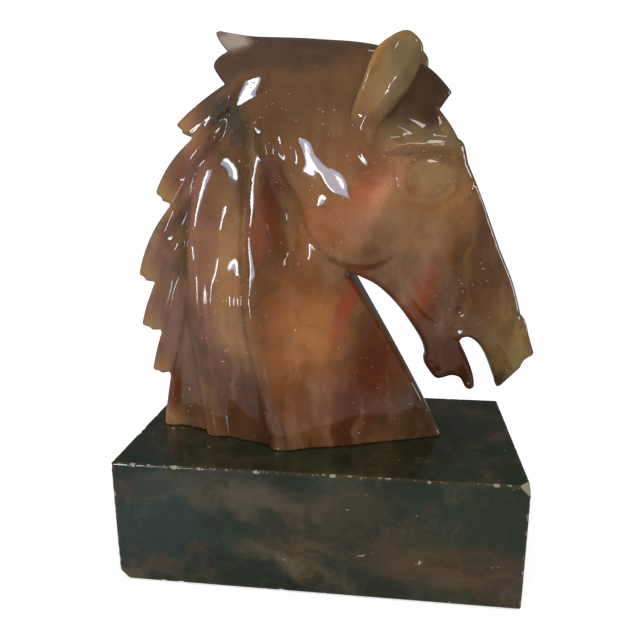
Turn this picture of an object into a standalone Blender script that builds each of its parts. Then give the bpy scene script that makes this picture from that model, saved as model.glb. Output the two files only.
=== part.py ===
"""Carved onyx horse head on a rectangular stone plinth.

The carving is drawn in its own units, one unit being HEAD_HEIGHT / DRAWN_HEIGHT.
Its x runs forward along the plinth from the plumb line that the drawing uses,
its v runs up from the plinth's top, and its depth is measured from the mid-plane.
"""
import math

import bmesh
import bpy
import numpy as np
from mathutils import Vector
from mathutils.geometry import delaunay_2d_cdt

# Sizes in metres
HEAD_HEIGHT = 0.203        # plinth's top to the highest lock of the mane
HEAD_THICKNESS = 0.062     # across the neck's two main locks at its foot
SEAT_GAP = 0.0003          # glue line under the neck
HEEL_MARGIN = 0.0088       # plinth's back end to the neck's heel
TOE_MARGIN = 0.0375        # neck's toe to the plinth's front end
SIDE_MARGIN = 0.022        # neck's main lock to the plinth's side
PLINTH_HEIGHT = 0.065
PLINTH_EDGE = 0.0012       # worn arris round the plinth
CORNER_CHIP = 0.0045       # knocked-off corners of the plinth
EAR_LEAD = 0.004           # how far the far ear was cut ahead of the near one

# Fineness of the carved surface, in drawing units
OUTLINE_STEP = 3.5
LATTICE_STEP = 4.6
LINE_STEP = 4.0
RING_SHARES = (0.62,)
RIM_FULLNESS = 2.6         # exponent of the rounded rim, 2 is an ellipse

DRAWN_HEIGHT = 203.2
DRAWN_THICKNESS = 62.0
HEEL_X = -91.2
TOE_X = 62.5
UNIT = HEAD_HEIGHT / DRAWN_HEIGHT
DEPTH_UNIT = HEAD_THICKNESS / DRAWN_THICKNESS

PLINTH_WIDTH = HEEL_MARGIN + (TOE_X - HEEL_X) * UNIT + TOE_MARGIN
PLINTH_DEPTH = HEAD_THICKNESS + 2.0 * SIDE_MARGIN

# Locks of the mane down the back: tip, root under it, and how far its upper edge bulges
MANE_LOCKS = (
    ((-74.9, 159.7), (-65.3, 153.6), 1.5),
    ((-87.5, 126.6), (-78.0, 121.3), 2.6),
    ((-99.5, 84.0), (-89.9, 80.8), 3.4),
    ((-100.7, 56.0), (-88.0, 54.4), 1.0),
    ((-96.4, 30.2), (-84.9, 30.7), 0.8),
)
LOCK_TOOTH = 1.3           # step between the two teeth of a lock's blunt end

# Runs of the outline from the toe round to the mane, each with the radius of its rim
FRONT_RUNS = (
    ("neck front", 3.0, ((62.5, 0), (52.5, 20.4), (36.4, 49.9), (27.1, 65.8), (13.7, 88.0))),
    ("jaw", 4.5, ((13.7, 88.0), (19.5, 85.6), (27.2, 81.2), (36.5, 72.1), (46.1, 59.1),
                  (50.5, 51.4), (52.1, 44.9))),
    ("chin", 3.0, ((52.1, 44.9), (51.8, 41.2), (54.3, 36.9), (58.0, 32.6), (61.0, 32.4),
                   (66.4, 34.0), (70.4, 32.9), (72.2, 30.6), (74.0, 27.2), (76.5, 26.3),
                   (78.6, 28.0))),
    ("mouth", 2.2, ((78.6, 28.0), (77.5, 34.8), (74.1, 43.5), (70.2, 51.5), (70.0, 54.6),
                    (72.6, 56.1), (75.5, 55.0), (79.2, 51.5), (83.2, 44.8), (88.0, 33.3),
                    (89.3, 29.3), (91.1, 28.5))),
    ("upper lip", 2.6, ((91.1, 28.5), (95.5, 34.0), (101.0, 40.6))),
    ("lip tip", 2.6, ((101.0, 40.6), (102.5, 44.5), (107.3, 47.2))),
    ("nostril", 3.0, ((107.3, 47.2), (103.8, 56.9), (101.6, 64.2), (99.0, 67.4))),
    ("nose", 4.2, ((99.0, 67.4), (97.6, 73.0), (93.9, 84.5), (86.7, 100.5), (78.5, 120.8),
                   (72.7, 134.1), (69.2, 141.5), (68.2, 145.5), (66.6, 150.4), (63.8, 152.8))),
    ("forehead", 4.0, ((63.8, 152.8), (59.5, 159.8), (54.6, 165.9))),
    ("forelock under", 2.2, ((54.6, 165.9), (60.0, 173.7))),
    ("crest", 3.2, ((60.0, 173.7), (53.2, 181.3), (47.3, 185.8), (36.0, 191.3), (22.0, 195.3),
                    (-2.6, 198.1), (-31.6, 199.8), (-41.3, 201.2), (-51.3, 203.2))),
    ("crest tip", 2.0, ((-51.3, 203.2), (-52.4, 200.8), (-47.0, 193.3))),
    ("round lock", 2.6, ((-47.0, 193.3), (-52.1, 190.9), (-54.5, 187.3), (-52.4, 183.0),
                         (-48.6, 178.5))),
)
HEEL_RUN = ("heel", 3.0, ((-84.9, 30.7), (-88.3, 14.8), (HEEL_X, 0.0)))
LOCK_RIM = 2.4

# Half-thickness of the form under its locks: x, v, half-thickness
FORM = {
    "neck foot": ((-91, 0, 3.5), (-78, 0, 6), (-64, 0, 11), (-50, 0, 17), (-36, 0, 22.5),
                  (-22, 0, 26), (-8, 0, 26), (10, 0, 21.5), (30, 0, 15), (48, 0, 9), (62, 0, 4)),
    "low neck": ((-90, 45, 4.5), (-76, 45, 8.5), (-62, 45, 13.5), (-48, 45, 18.5),
                 (-31, 45, 23.5), (-10, 45, 24), (10, 45, 20.5), (27, 48, 13.5), (36, 49, 8.5)),
    "middle neck": ((-97, 82, 4.5), (-84, 88, 7.5), (-68, 86, 12.5), (-52, 86, 17.5),
                    (-34, 86, 22), (-15, 86, 21.5), (2, 84, 19), (14, 86, 15)),
    "upper neck": ((-86, 125, 4.5), (-72, 124, 8.5), (-58, 121, 13.5), (-45, 119, 18),
                   (-31, 120, 20.5), (-18, 118, 19.5)),
    "withers": ((-74, 157, 4.5), (-60, 158, 8.5), (-45, 155, 13), (-28, 156, 17)),
    "crest": ((-51, 200, 6.5), (-50, 187, 6.5), (-40, 182, 9), (-30, 199, 8.5),
              (-25, 176, 13), (0, 197, 9.5), (0, 178, 15), (24, 194, 9.5)),
    "cheek": ((-8, 150, 21.5), (8, 152, 24), (-6, 128, 23), (12, 126, 26.5), (30, 130, 25.5),
              (10, 104, 22), (28, 106, 21)),
    "ear root": ((17, 161, 22.5), (21, 152, 24.5), (27, 170, 17)),
    "forehead": ((44, 170, 10), (58, 173, 6), (54, 160, 12), (62, 153, 12.5)),
    "eye": ((42, 136, 22.5), (53, 134, 21), (62, 134, 16.5), (70, 137, 10)),
    "nose": ((45, 112, 18.5), (58, 114, 16.5), (68, 115, 12.5), (78, 119, 8),
             (76, 92, 11), (88, 96, 7.5), (95, 76, 8)),
    "jaw": ((37, 92, 14), (50, 92, 13.5), (64, 92, 13), (48, 68, 8.5), (60, 68, 10.5),
            (56, 42, 7.5), (66, 40, 7), (76, 30, 4.5)),
    "muzzle": ((72, 70, 12.5), (84, 72, 12), (78, 60, 12), (88, 54, 12), (98, 58, 10.5),
               (104, 49, 8.5), (92, 33, 6), (83, 47, 9)),
}

# Overlapping edges: lift, width of the steep side (right of the path), width of the
# gentle side (left of the path), which ends fade out, and the path
EDGES = {
    "main lock": (6.0, 4.0, 20.0, "start", (
        (-26.5, 155), (-33.0, 133), (-35.4, 109), (-34.4, 85), (-33.0, 62), (-30.6, 45),
        (-26.9, 27.2), (-22.4, 0))),
    "middle lock": (3.6, 3.5, 13.0, "start", (
        (-45.0, 150), (-50.0, 125), (-52.7, 84), (-49.7, 50.5), (-43.5, 23.9), (-38.2, 0))),
    "back lock": (4.6, 3.0, 12.0, "start", (
        (-54.0, 145), (-61.0, 128), (-64.0, 113), (-66.6, 75), (-65.4, 53), (-62.5, 20),
        (-60.4, 0))),
    "jowl": (4.4, 3.0, 13.0, "both", (
        (-17.0, 163), (-19.6, 156), (-19.0, 147), (-14.8, 135.5), (-9.7, 126.2),
        (-3.2, 110.3), (7.0, 98.4), (21.0, 95.0), (30.6, 98.2), (40.0, 104.5))),
    "crest slab": (3.6, 2.0, 10.0, "none", ((-46.5, 192.6), (-20.0, 190.6), (20.0, 189.5))),
    "lock 1": (2.6, 2.0, 9.0, "end", (
        (-65.0, 154.0), (-50.0, 164.0), (-37.5, 172.5), (-28.5, 182))),
    "lock 2": (2.4, 2.0, 8.0, "end", (
        (-77.6, 121.8), (-70.0, 132.5), (-60.0, 146.5), (-46.5, 161))),
    "lock 3": (2.2, 2.0, 7.0, "end", (
        (-89.4, 81.4), (-82.0, 100), (-73.0, 118), (-62.5, 134.0))),
    "lock 4": (2.2, 2.0, 6.0, "end", (
        (-87.6, 55.2), (-81.5, 75), (-75.5, 94), (-69.5, 112))),
    "lock 5": (2.2, 2.0, 6.0, "end", (
        (-84.6, 31.6), (-79.0, 50), (-74.0, 70), (-70.0, 88))),
}

# Swelling of the mane's locks: height, half-width at the root and at the tip, and the
# axis from the root to the tip; where two meet, the higher one shows
SWELLS = (
    (3.4, 5.0, 8.0, ((-33.0, 180), (-53.0, 168), (-70.1, 156.7))),
    (3.2, 5.0, 8.0, ((-49.0, 161), (-62.0, 150), (-74.0, 137.5), (-82.8, 124.0))),
    (3.0, 4.5, 7.0, ((-64.0, 138), (-77.0, 119), (-87.5, 100), (-94.7, 82.4))),
    (2.8, 4.0, 7.0, ((-73.0, 110), (-82.0, 90), (-89.5, 72), (-94.3, 55.2))),
    (2.6, 4.0, 6.0, ((-75.5, 84), (-82.0, 64), (-87.0, 47), (-90.6, 30.5))),
    (2.4, 4.0, 6.0, ((-77.0, 50), (-83.5, 27), (-86.0, 2))),
)

# Ridges (positive) and grooves (negative): height, half-width, and the path
RIDGES = {
    "brow": (2.8, 4.0, ((27.0, 147.5), (40.0, 149.3), (53.0, 149.2), (64.5, 147.5))),
    "main lock's branch": (2.6, 4.0, ((-27.0, 157), (-24.5, 145), (-20.5, 129))),
    "hollow behind the jowl": (-4.5, 9.0, ((-24.0, 146), (-22.5, 128), (-18.0, 108),
                                            (-10.0, 90))),
    "facial crest": (1.8, 7.0, ((56.5, 125), (60.0, 115), (60.2, 103), (65.0, 81))),
    "jaw hollow": (-2.2, 6.0, ((44.0, 96), (52.0, 84), (61.0, 72))),
    "jaw bar": (1.4, 4.5, ((38.0, 94), (47.0, 76), (59.5, 64))),
    "forelock hollow": (-2.2, 8.0, ((33.0, 166), (44.0, 161), (52.0, 156))),
    "ear root": (2.4, 6.0, ((31.0, 173), (23.0, 162), (19.5, 153), (24.5, 141))),
    "mouth edge": (1.2, 3.0, ((66.5, 55), (69.5, 58.6), (74.0, 58.6), (78.5, 55.5))),
}

EYE_CENTRE = (50.3, 134.6)
EYE_RADII = (10.2, 8.8)
EYE_SWELL = 2.4            # how far the eyeball stands out
LID_SWELL = 1.3
LID_AT = 1.26              # the lid's ridge, as a share of the eye's radii
SOCKET_DEPTH = 1.6

# One ear: its outline, the height of its outer face, and the depth of its inner face
EAR_LOOP = ((24.5, 147.5), (27.5, 157.5), (34.1, 166.6), (40.0, 174.2), (44.1, 183.2),
            (45.3, 190.8), (41.4, 196.2), (37.1, 197.9), (30.7, 195.3), (24.9, 190.8),
            (21.3, 184.1), (18.7, 176.7), (15.2, 168.3), (12.5, 158.5), (14.0, 149.5),
            (19.0, 144.0))
EAR_FORM = ((20, 148, 24.0), (23.6, 163.7, 26.8), (31.6, 174, 27.4), (36.9, 181.6, 26.6),
            (41.2, 189.5, 24.5), (27.2, 157.7, 23.5), (34.6, 167.3, 23), (40.2, 174.5, 23),
            (44.3, 183.7, 22), (15.5, 168.3, 24), (19.2, 176.7, 24.8), (21.8, 184.1, 25),
            (25, 190.6, 24.4), (31, 195, 23.4), (37, 197.6, 22.4), (25, 173, 22),
            (28.5, 181, 20.8), (32.5, 188, 21), (14, 155, 22.5), (18, 146, 20.5))
EAR_INNER_FOOT = 9.0
EAR_INNER_TIP = 13.0
EAR_RIM = 2.6
EAR_FOOT_V = 144.0
EAR_TIP_V = 197.9


def flow(points, step):
    """Smooth curve through the points (Catmull-Rom on the chord's square root),
    sampled about every step."""
    p = np.asarray(points, float)
    if len(p) == 2:
        count = max(1, int(round(np.linalg.norm(p[1] - p[0]) / step)))
        t = np.linspace(0.0, 1.0, count + 1)[:, None]
        return p[0] + (p[1] - p[0]) * t
    chord = np.linalg.norm(np.diff(p, axis=0), axis=1)
    knot = np.concatenate(([0.0], np.cumsum(np.sqrt(chord))))
    slope = np.empty_like(p)
    slope[1:-1] = (p[2:] - p[:-2]) / (knot[2:] - knot[:-2])[:, None]
    slope[0] = 2.0 * (p[1] - p[0]) / (knot[1] - knot[0]) - slope[1]
    slope[-1] = 2.0 * (p[-1] - p[-2]) / (knot[-1] - knot[-2]) - slope[-2]
    rows = []
    for i, length in enumerate(chord):
        count = max(1, int(round(length / step)))
        t = (np.arange(count) / count)[:, None]
        span = knot[i + 1] - knot[i]
        rows.append((2 * t**3 - 3 * t**2 + 1) * p[i] + (t**3 - 2 * t**2 + t) * span * slope[i]
                    + (3 * t**2 - 2 * t**3) * p[i + 1] + (t**3 - t**2) * span * slope[i + 1])
    rows.append(p[-1:])
    return np.vstack(rows)


def closed_flow(points, step):
    """Smooth closed curve through the points, without a repeated end."""
    p = list(points)
    lead = 3
    curve = flow(p[-lead:] + p + p[:lead + 1], step)
    first = np.linalg.norm(curve - np.asarray(p[0], float), axis=1)
    hits = np.flatnonzero(first < 1e-9)
    return curve[hits[0]:hits[-1]]


def nearest(path, pts):
    """Distance of each point to the path, the side it lies on (+1 left of the path,
    -1 right), its share along the path, and the nearest spot."""
    path = np.asarray(path, float)
    a = path[:-1]
    ab = path[1:] - a
    length = np.linalg.norm(ab, axis=1)
    start = np.concatenate(([0.0], np.cumsum(length)))
    best = np.full(len(pts), np.inf)
    side = np.ones(len(pts))
    share = np.zeros(len(pts))
    spot = np.zeros((len(pts), 2))
    for i in range(len(ab)):
        rel = pts - a[i]
        t = np.clip(rel @ ab[i] / max(length[i]**2, 1e-12), 0.0, 1.0)
        foot = a[i] + t[:, None] * ab[i]
        d = np.linalg.norm(pts - foot, axis=1)
        near = d < best - 1e-9
        best[near] = d[near]
        cross = ab[i][0] * rel[:, 1] - ab[i][1] * rel[:, 0]
        side[near] = np.where(cross[near] >= 0.0, 1.0, -1.0)
        share[near] = (start[i] + t[near] * length[i]) / start[-1]
        spot[near] = foot[near]
    return best, side, share, spot


def spline_sheet(controls):
    """Thin sheet bent through the control heights; returns it as a function."""
    c = np.asarray(controls, float)
    n = len(c)

    def bend(r):
        return r * r * np.log(np.maximum(r, 1e-9))

    gap = np.linalg.norm(c[:, None, :2] - c[None, :, :2], axis=2)
    flat = np.hstack((np.ones((n, 1)), c[:, :2]))
    system = np.zeros((n + 3, n + 3))
    system[:n, :n] = bend(gap)
    system[:n, n:] = flat
    system[n:, :n] = flat.T
    weight = np.linalg.solve(system, np.concatenate((c[:, 2], np.zeros(3))))

    def height(pts):
        r = np.linalg.norm(pts[:, None, :] - c[None, :, :2], axis=2)
        return bend(r) @ weight[:n] + weight[n] + pts @ weight[n + 1:]

    return height


def end_fade(ends, share):
    """Rises from 0 at the ends of a path that are named: start, end, both or none."""
    near = {"start": share, "end": 1.0 - share,
            "both": np.minimum(share, 1.0 - share), "none": np.ones_like(share)}[ends]
    t = np.clip(near / 0.2, 0.0, 1.0)
    return t * t * (3.0 - 2.0 * t)


body_form = spline_sheet([row for rows in FORM.values() for row in rows])


def half_thickness(pts):
    """Half-thickness of the head and neck: the bent sheet, plus the overlapping edges,
    the mane's swelling locks, the ridges and grooves, and the eye."""
    h = body_form(pts)
    for lift, steep, gentle, ends, path in EDGES.values():
        d, side, share, _ = nearest(flow(path, 3.0), pts)
        rise = np.clip(1.0 - d / np.where(side > 0, gentle, steep), 0.0, 1.0)
        h = h + lift * end_fade(ends, share) * np.where(side > 0, rise**2, rise)
    swell = np.zeros(len(pts))
    for height, root, tip, path in SWELLS:
        d, _, share, _ = nearest(flow(path, 3.0), pts)
        width = root + (tip - root) * share
        crown = height * np.clip(1.0 - (d / width)**2, 0.0, 1.0)
        swell = np.maximum(swell, crown * np.clip(share / 0.3, 0.0, 1.0))
    h = h + swell
    for height, width, path in RIDGES.values():
        d, _, share, _ = nearest(flow(path, 3.0), pts)
        h = h + height * end_fade("both", share) * np.clip(1.0 - (d / width)**2, 0.0, 1.0)**2
    rho = np.hypot((pts[:, 0] - EYE_CENTRE[0]) / EYE_RADII[0],
                   (pts[:, 1] - EYE_CENTRE[1]) / EYE_RADII[1])
    ball = EYE_SWELL * np.sqrt(np.clip(1.0 - rho**2, 0.0, 1.0))
    lid = LID_SWELL * np.clip(1.0 - ((rho - LID_AT) / 0.24)**2, 0.0, 1.0)
    socket = SOCKET_DEPTH * np.clip(1.0 - (rho / 1.9)**2, 0.0, 1.0)
    return np.maximum(h + ball + lid - socket, 2.5)


def mane_runs():
    """Outline of the mane's locks: a bulging upper edge, then a blunt end of two teeth."""
    runs = []
    start = FRONT_RUNS[-1][2][-1]
    for tip, root, bulge in MANE_LOCKS:
        a, b, c = (np.array(q, float) for q in (start, tip, root))
        along = (b - a) / np.linalg.norm(b - a)
        out = np.array((along[1], -along[0]))
        if out @ (b - c) < 0.0:
            out = -out
        middle = 0.5 * (a + b) + bulge * out
        end = (c - b) / np.linalg.norm(c - b)
        down = np.array((-end[1], end[0]))
        if down @ along < 0.0:
            down = -down
        width = np.linalg.norm(c - b)
        first = b + 0.44 * width * end
        second = b + 0.50 * width * end + LOCK_TOOTH * down
        runs.append(("lock edge", LOCK_RIM, (a, middle, b)))
        runs.append(("lock tooth", LOCK_RIM, (b, first)))
        runs.append(("lock step", LOCK_RIM, (first, second)))
        runs.append(("lock tooth", LOCK_RIM, (second, c)))
        start = root
    return runs


def outline():
    """Closed outline from the toe round to the heel, with each point's rim radius;
    the straight foot follows it."""
    points = []
    radii = []
    for _, rim, path in list(FRONT_RUNS) + mane_runs() + [HEEL_RUN]:
        curve = flow(path, OUTLINE_STEP)
        points.append(curve[:-1])
        radii.append(np.full(len(curve) - 1, rim))
    points.append(np.array([[HEEL_X, 0.0]]))
    radii.append(np.array([HEEL_RUN[1]]))
    pts = np.vstack(points)
    rim = np.concatenate(radii)
    for _ in range(3):
        rim[1:-1] = 0.25 * rim[:-2] + 0.5 * rim[1:-1] + 0.25 * rim[2:]
    return pts, rim


def inside(loop, pts):
    """True for the points within the closed loop (crossings of a ray to +x)."""
    hit = np.zeros(len(pts), bool)
    for a, b in zip(loop, np.roll(loop, -1, axis=0)):
        spans = (a[1] > pts[:, 1]) != (b[1] > pts[:, 1])
        if a[1] != b[1]:
            cut = a[0] + (pts[:, 1] - a[1]) * (b[0] - a[0]) / (b[1] - a[1])
            hit ^= spans & (pts[:, 0] < cut)
    return hit


def lattice(loop, step):
    """Triangular lattice over the loop's box, only the points inside."""
    low = loop.min(axis=0)
    high = loop.max(axis=0)
    rows = []
    for j, v in enumerate(np.arange(low[1], high[1], step * math.sqrt(0.75))):
        x = np.arange(low[0] + (0.5 * step if j % 2 else 0.0), high[0], step)
        rows.append(np.column_stack((x, np.full_like(x, v))))
    pts = np.vstack(rows)
    return pts[inside(loop, pts)]


def clear_of(pts, others, gap):
    """Keeps the points that stay the gap away from the others."""
    if not len(others) or not len(pts):
        return pts
    keep = np.ones(len(pts), bool)
    for k in range(0, len(pts), 2000):
        block = pts[k:k + 2000]
        d = np.linalg.norm(block[:, None, :] - others[None, :, :], axis=2).min(axis=1)
        keep[k:k + 2000] = d >= gap
    return pts[keep]


def rim_rings(rim_line, rim, loop):
    """Points that follow the rim inside it, at the shares of its radius given."""
    ahead = np.roll(rim_line, -1, axis=0) - np.roll(rim_line, 1, axis=0)
    ahead[0] = rim_line[1] - rim_line[0]
    ahead[-1] = rim_line[-1] - rim_line[-2]
    normal = np.column_stack((-ahead[:, 1], ahead[:, 0]))
    normal /= np.linalg.norm(normal, axis=1)[:, None]
    rows = []
    for share in RING_SHARES:
        inset = (share * rim)[:, None]
        ring = rim_line + inset * normal
        gap, _, _, _ = nearest(rim_line, ring)
        good = (gap > 0.86 * inset[:, 0]) & inside(loop, ring) & (ring[:, 1] > 0.4 * rim)
        ring = ring[good]
        kept = []
        for q in ring:
            if all(np.hypot(*(q - k)) > 0.5 * OUTLINE_STEP for k in kept[-6:]):
                kept.append(q)
        rows.append(np.array(kept))
    return np.vstack(rows)


def feature_lines(loop, rim_line):
    """Points along the carved edges, at the crest of each and at the foot of its
    steep side, so that the faces follow them."""
    rows = [flow(RIDGES["brow"][2], LINE_STEP)]
    for _, steep, _, _, path in EDGES.values():
        line = flow(path, LINE_STEP)
        ahead = np.gradient(line, axis=0)
        right = np.column_stack((ahead[:, 1], -ahead[:, 0]))
        right /= np.linalg.norm(right, axis=1)[:, None]
        rows.append(line)
        rows.append(line + steep * right)
    turn = np.linspace(0.0, 2.0 * math.pi, 20, endpoint=False)
    for size in (0.99, LID_AT, 1.55):
        rows.append(np.column_stack((EYE_CENTRE[0] + size * EYE_RADII[0] * np.cos(turn),
                                     EYE_CENTRE[1] + size * EYE_RADII[1] * np.sin(turn))))
    for _, _, _, path in SWELLS:
        rows.append(flow(path, LINE_STEP))
    kept = np.empty((0, 2))
    for row in rows:
        row = row[inside(loop, row) & (row[:, 1] > 0.5 * LINE_STEP)]
        gap, _, _, _ = nearest(rim_line, row)
        row = clear_of(row[gap > 3.0], kept, 0.44 * LINE_STEP)
        kept = np.vstack((kept, row))
    return kept


def sheet_solid(name, loop, foot, rim, features, outer, inner, middle):
    """Closed solid between two sheets over the loop. Both sheets bend to the middle
    depth along the rim, on a superellipse; foot is the number of loop points that
    form a flat foot instead, at the loop's end."""
    count = len(loop)
    rim_count = count - foot
    rim_line = loop[:rim_count]
    closed = rim_line if foot else np.vstack((rim_line, rim_line[:1]))
    rings = rim_rings(rim_line, rim, loop)
    features = clear_of(features, rings, 0.55 * OUTLINE_STEP)
    grid = lattice(loop, LATTICE_STEP)
    gap, _, _, _ = nearest(np.vstack((loop, loop[:1])), grid)
    grid = grid[gap > 0.6 * OUTLINE_STEP]
    grid = clear_of(grid, rings, 0.62 * LATTICE_STEP)
    grid = clear_of(grid, features, 0.62 * LATTICE_STEP)
    plan = np.vstack((loop, rings, features, grid))
    edges = [(i, (i + 1) % count) for i in range(count)]
    flat, _, tris, source, _, _ = delaunay_2d_cdt(
        [Vector(q) for q in plan], edges, [list(range(count))], 1, 1e-5)
    pts = np.array([tuple(q) for q in flat])
    loop_of = {}
    for i, made_from in enumerate(source):
        for j in made_from:
            if j < count:
                loop_of[j] = i
    rim_ids = {loop_of[j] for j in range(rim_count)}

    d, _, _, spot = nearest(closed, pts)
    nearest_rim = np.argmin(np.linalg.norm(
        spot[:, None, :] - rim_line[None, :, :], axis=2), axis=1)
    radius = rim[nearest_rim]
    angle = np.clip(d / radius, 0.0, 1.0) * 0.5 * math.pi
    share = np.sin(angle)**(2.0 / RIM_FULLNESS)
    inset = radius * (1.0 - np.cos(angle)**(2.0 / RIM_FULLNESS))
    moved = np.where((d < radius)[:, None] & (d > 1e-9)[:, None],
                     spot + (pts - spot) * (inset / np.maximum(d, 1e-9))[:, None], pts)
    for j in range(rim_count, count):
        moved[loop_of[j], 1] = loop[j, 1]
    mid = middle(moved)
    out = mid + (outer(moved) - mid) * share
    back = mid - (mid - inner(moved)) * share

    bm = bmesh.new()
    front = []
    rear = []
    for i, (x, v) in enumerate(moved):
        if i in rim_ids:
            vert = bm.verts.new((x, -mid[i], v))
            front.append(vert)
            rear.append(vert)
        else:
            front.append(bm.verts.new((x, -out[i], v)))
            rear.append(bm.verts.new((x, -back[i], v)))
    for tri in tris:
        bm.faces.new([front[i] for i in tri])
        bm.faces.new([rear[i] for i in reversed(tri)])
    if foot:
        line = [loop_of[j] for j in (rim_count - 1, *range(rim_count, count), 0)]
        for i, j in zip(line[:-1], line[1:]):
            ring = [front[i], front[j], rear[j], rear[i]]
            ring = [q for k, q in enumerate(ring) if q not in ring[:k]]
            bm.faces.new(ring)
    bmesh.ops.recalc_face_normals(bm, faces=bm.faces[:])
    mesh = bpy.data.meshes.new(name)
    bm.to_mesh(mesh)
    bm.free()
    obj = bpy.data.objects.new(name, mesh)
    bpy.context.scene.collection.objects.link(obj)
    return obj


def stone(name, colour, roughness):
    material = bpy.data.materials.new(name)
    material.use_nodes = True
    shader = material.node_tree.nodes["Principled BSDF"]
    shader.inputs["Base Color"].default_value = (*colour, 1.0)
    shader.inputs["Roughness"].default_value = roughness
    shader.inputs["Metallic"].default_value = 0.0
    return material


def unite(target, other):
    """Joins the other solid to the target for good."""
    union = target.modifiers.new("union", "BOOLEAN")
    union.operation = "UNION"
    union.solver = "EXACT"
    union.object = other
    graph = bpy.context.evaluated_depsgraph_get()
    merged = bpy.data.meshes.new_from_object(target.evaluated_get(graph))
    target.modifiers.remove(union)
    target.data = merged
    bpy.data.objects.remove(other)


def build_ear(name, side, lead):
    """Ear on one side of the head: side is +1 for the near one (towards -Y)."""
    loop = closed_flow(EAR_LOOP, 0.9 * OUTLINE_STEP)
    rim = np.full(len(loop), EAR_RIM)
    face = spline_sheet(EAR_FORM)

    def inner(pts):
        share = np.clip((pts[:, 1] - EAR_FOOT_V) / (EAR_TIP_V - EAR_FOOT_V), 0.0, 1.0)
        return EAR_INNER_FOOT + (EAR_INNER_TIP - EAR_INNER_FOOT) * share

    def middle(pts):
        return 0.5 * (inner(pts) + face(pts))

    line = flow(((20, 148), (20.3, 155), (23.6, 163.7), (31.6, 174), (36.9, 181.6),
                 (41.0, 189.5)), LINE_STEP)
    obj = sheet_solid(name, loop, 0, rim, line, face, inner, middle)
    for vert in obj.data.vertices:
        vert.co.x += lead
        vert.co.y *= side
    if side < 0:
        obj.data.flip_normals()
    return obj


def build_head():
    rim_line, rim = outline()
    steps = int(round((TOE_X - HEEL_X) / OUTLINE_STEP))
    foot_x = np.linspace(HEEL_X, TOE_X, steps + 1)[1:-1]
    for *_, path in EDGES.values():
        if path[-1][1] == 0:
            foot_x[np.argmin(np.abs(foot_x - path[-1][0]))] = path[-1][0]
    foot = np.column_stack((foot_x, np.zeros_like(foot_x)))
    loop = np.vstack((rim_line, foot))
    head = sheet_solid("horse_head", loop, len(foot), rim, feature_lines(loop, rim_line),
                       half_thickness, lambda p: -half_thickness(p),
                       lambda p: np.zeros(len(p)))
    unite(head, build_ear("near_ear", 1.0, 0.0))
    unite(head, build_ear("far_ear", -1.0, EAR_LEAD / UNIT))
    for vert in head.data.vertices:
        x, y, v = vert.co
        vert.co = (-0.5 * PLINTH_WIDTH + HEEL_MARGIN + (x - HEEL_X) * UNIT,
                   y * DEPTH_UNIT, PLINTH_HEIGHT + SEAT_GAP + v * UNIT)
    head.data.materials.clear()
    head.data.materials.append(stone("head_onyx", (0.20, 0.085, 0.035), 0.08))
    head.data.shade_smooth()
    head.data.set_sharp_from_angle(angle=math.radians(40.0))
    return head


def build_plinth():
    """Rectangular block with a worn arris all round and two corners knocked off."""
    bm = bmesh.new()
    bmesh.ops.create_cube(bm, size=1.0)
    for vert in bm.verts:
        vert.co = (vert.co.x * PLINTH_WIDTH, vert.co.y * PLINTH_DEPTH,
                   (vert.co.z + 0.5) * PLINTH_HEIGHT)
    bmesh.ops.bevel(bm, geom=bm.edges[:], offset=PLINTH_EDGE, segments=2, profile=0.5,
                    affect="EDGES")
    for sx, sy, z in ((-1.0, -1.0, 0.0), (1.0, -1.0, PLINTH_HEIGHT)):
        corner = Vector((sx * 0.5 * PLINTH_WIDTH, sy * 0.5 * PLINTH_DEPTH, z))
        out = Vector((sx, sy, 1.0 if z > 0.0 else -1.0)).normalized()
        cut = bmesh.ops.bisect_plane(bm, geom=bm.verts[:] + bm.edges[:] + bm.faces[:],
                                     plane_co=corner - out * (CORNER_CHIP / math.sqrt(3.0)
                                                              + PLINTH_EDGE * 0.5),
                                     plane_no=out, clear_outer=True)
        edges = [e for e in cut["geom_cut"] if isinstance(e, bmesh.types.BMEdge)]
        bmesh.ops.holes_fill(bm, edges=edges)
    bmesh.ops.recalc_face_normals(bm, faces=bm.faces[:])
    mesh = bpy.data.meshes.new("plinth")
    bm.to_mesh(mesh)
    bm.free()
    mesh.materials.append(stone("plinth_stone", (0.028, 0.040, 0.034), 0.12))
    mesh.shade_smooth()
    mesh.set_sharp_from_angle(angle=math.radians(30.0))
    plinth = bpy.data.objects.new("plinth", mesh)
    bpy.context.scene.collection.objects.link(plinth)
    return plinth


for old in list(bpy.data.objects):
    bpy.data.objects.remove(old)
build_plinth()
build_head()
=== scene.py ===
"""Looks of a carved onyx horse head on a polished stone plinth.

The head is drawn in the carving's own units, as its solid is: x runs forward along the
plinth, v runs up from the plinth's top, and the depth is measured from the mid-plane.
"""
import math

import bpy
import numpy as np
from bpy.props import FloatProperty, FloatVectorProperty, PointerProperty
from mathutils import Matrix, Vector
from mathutils.geometry import delaunay_2d_cdt


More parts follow.
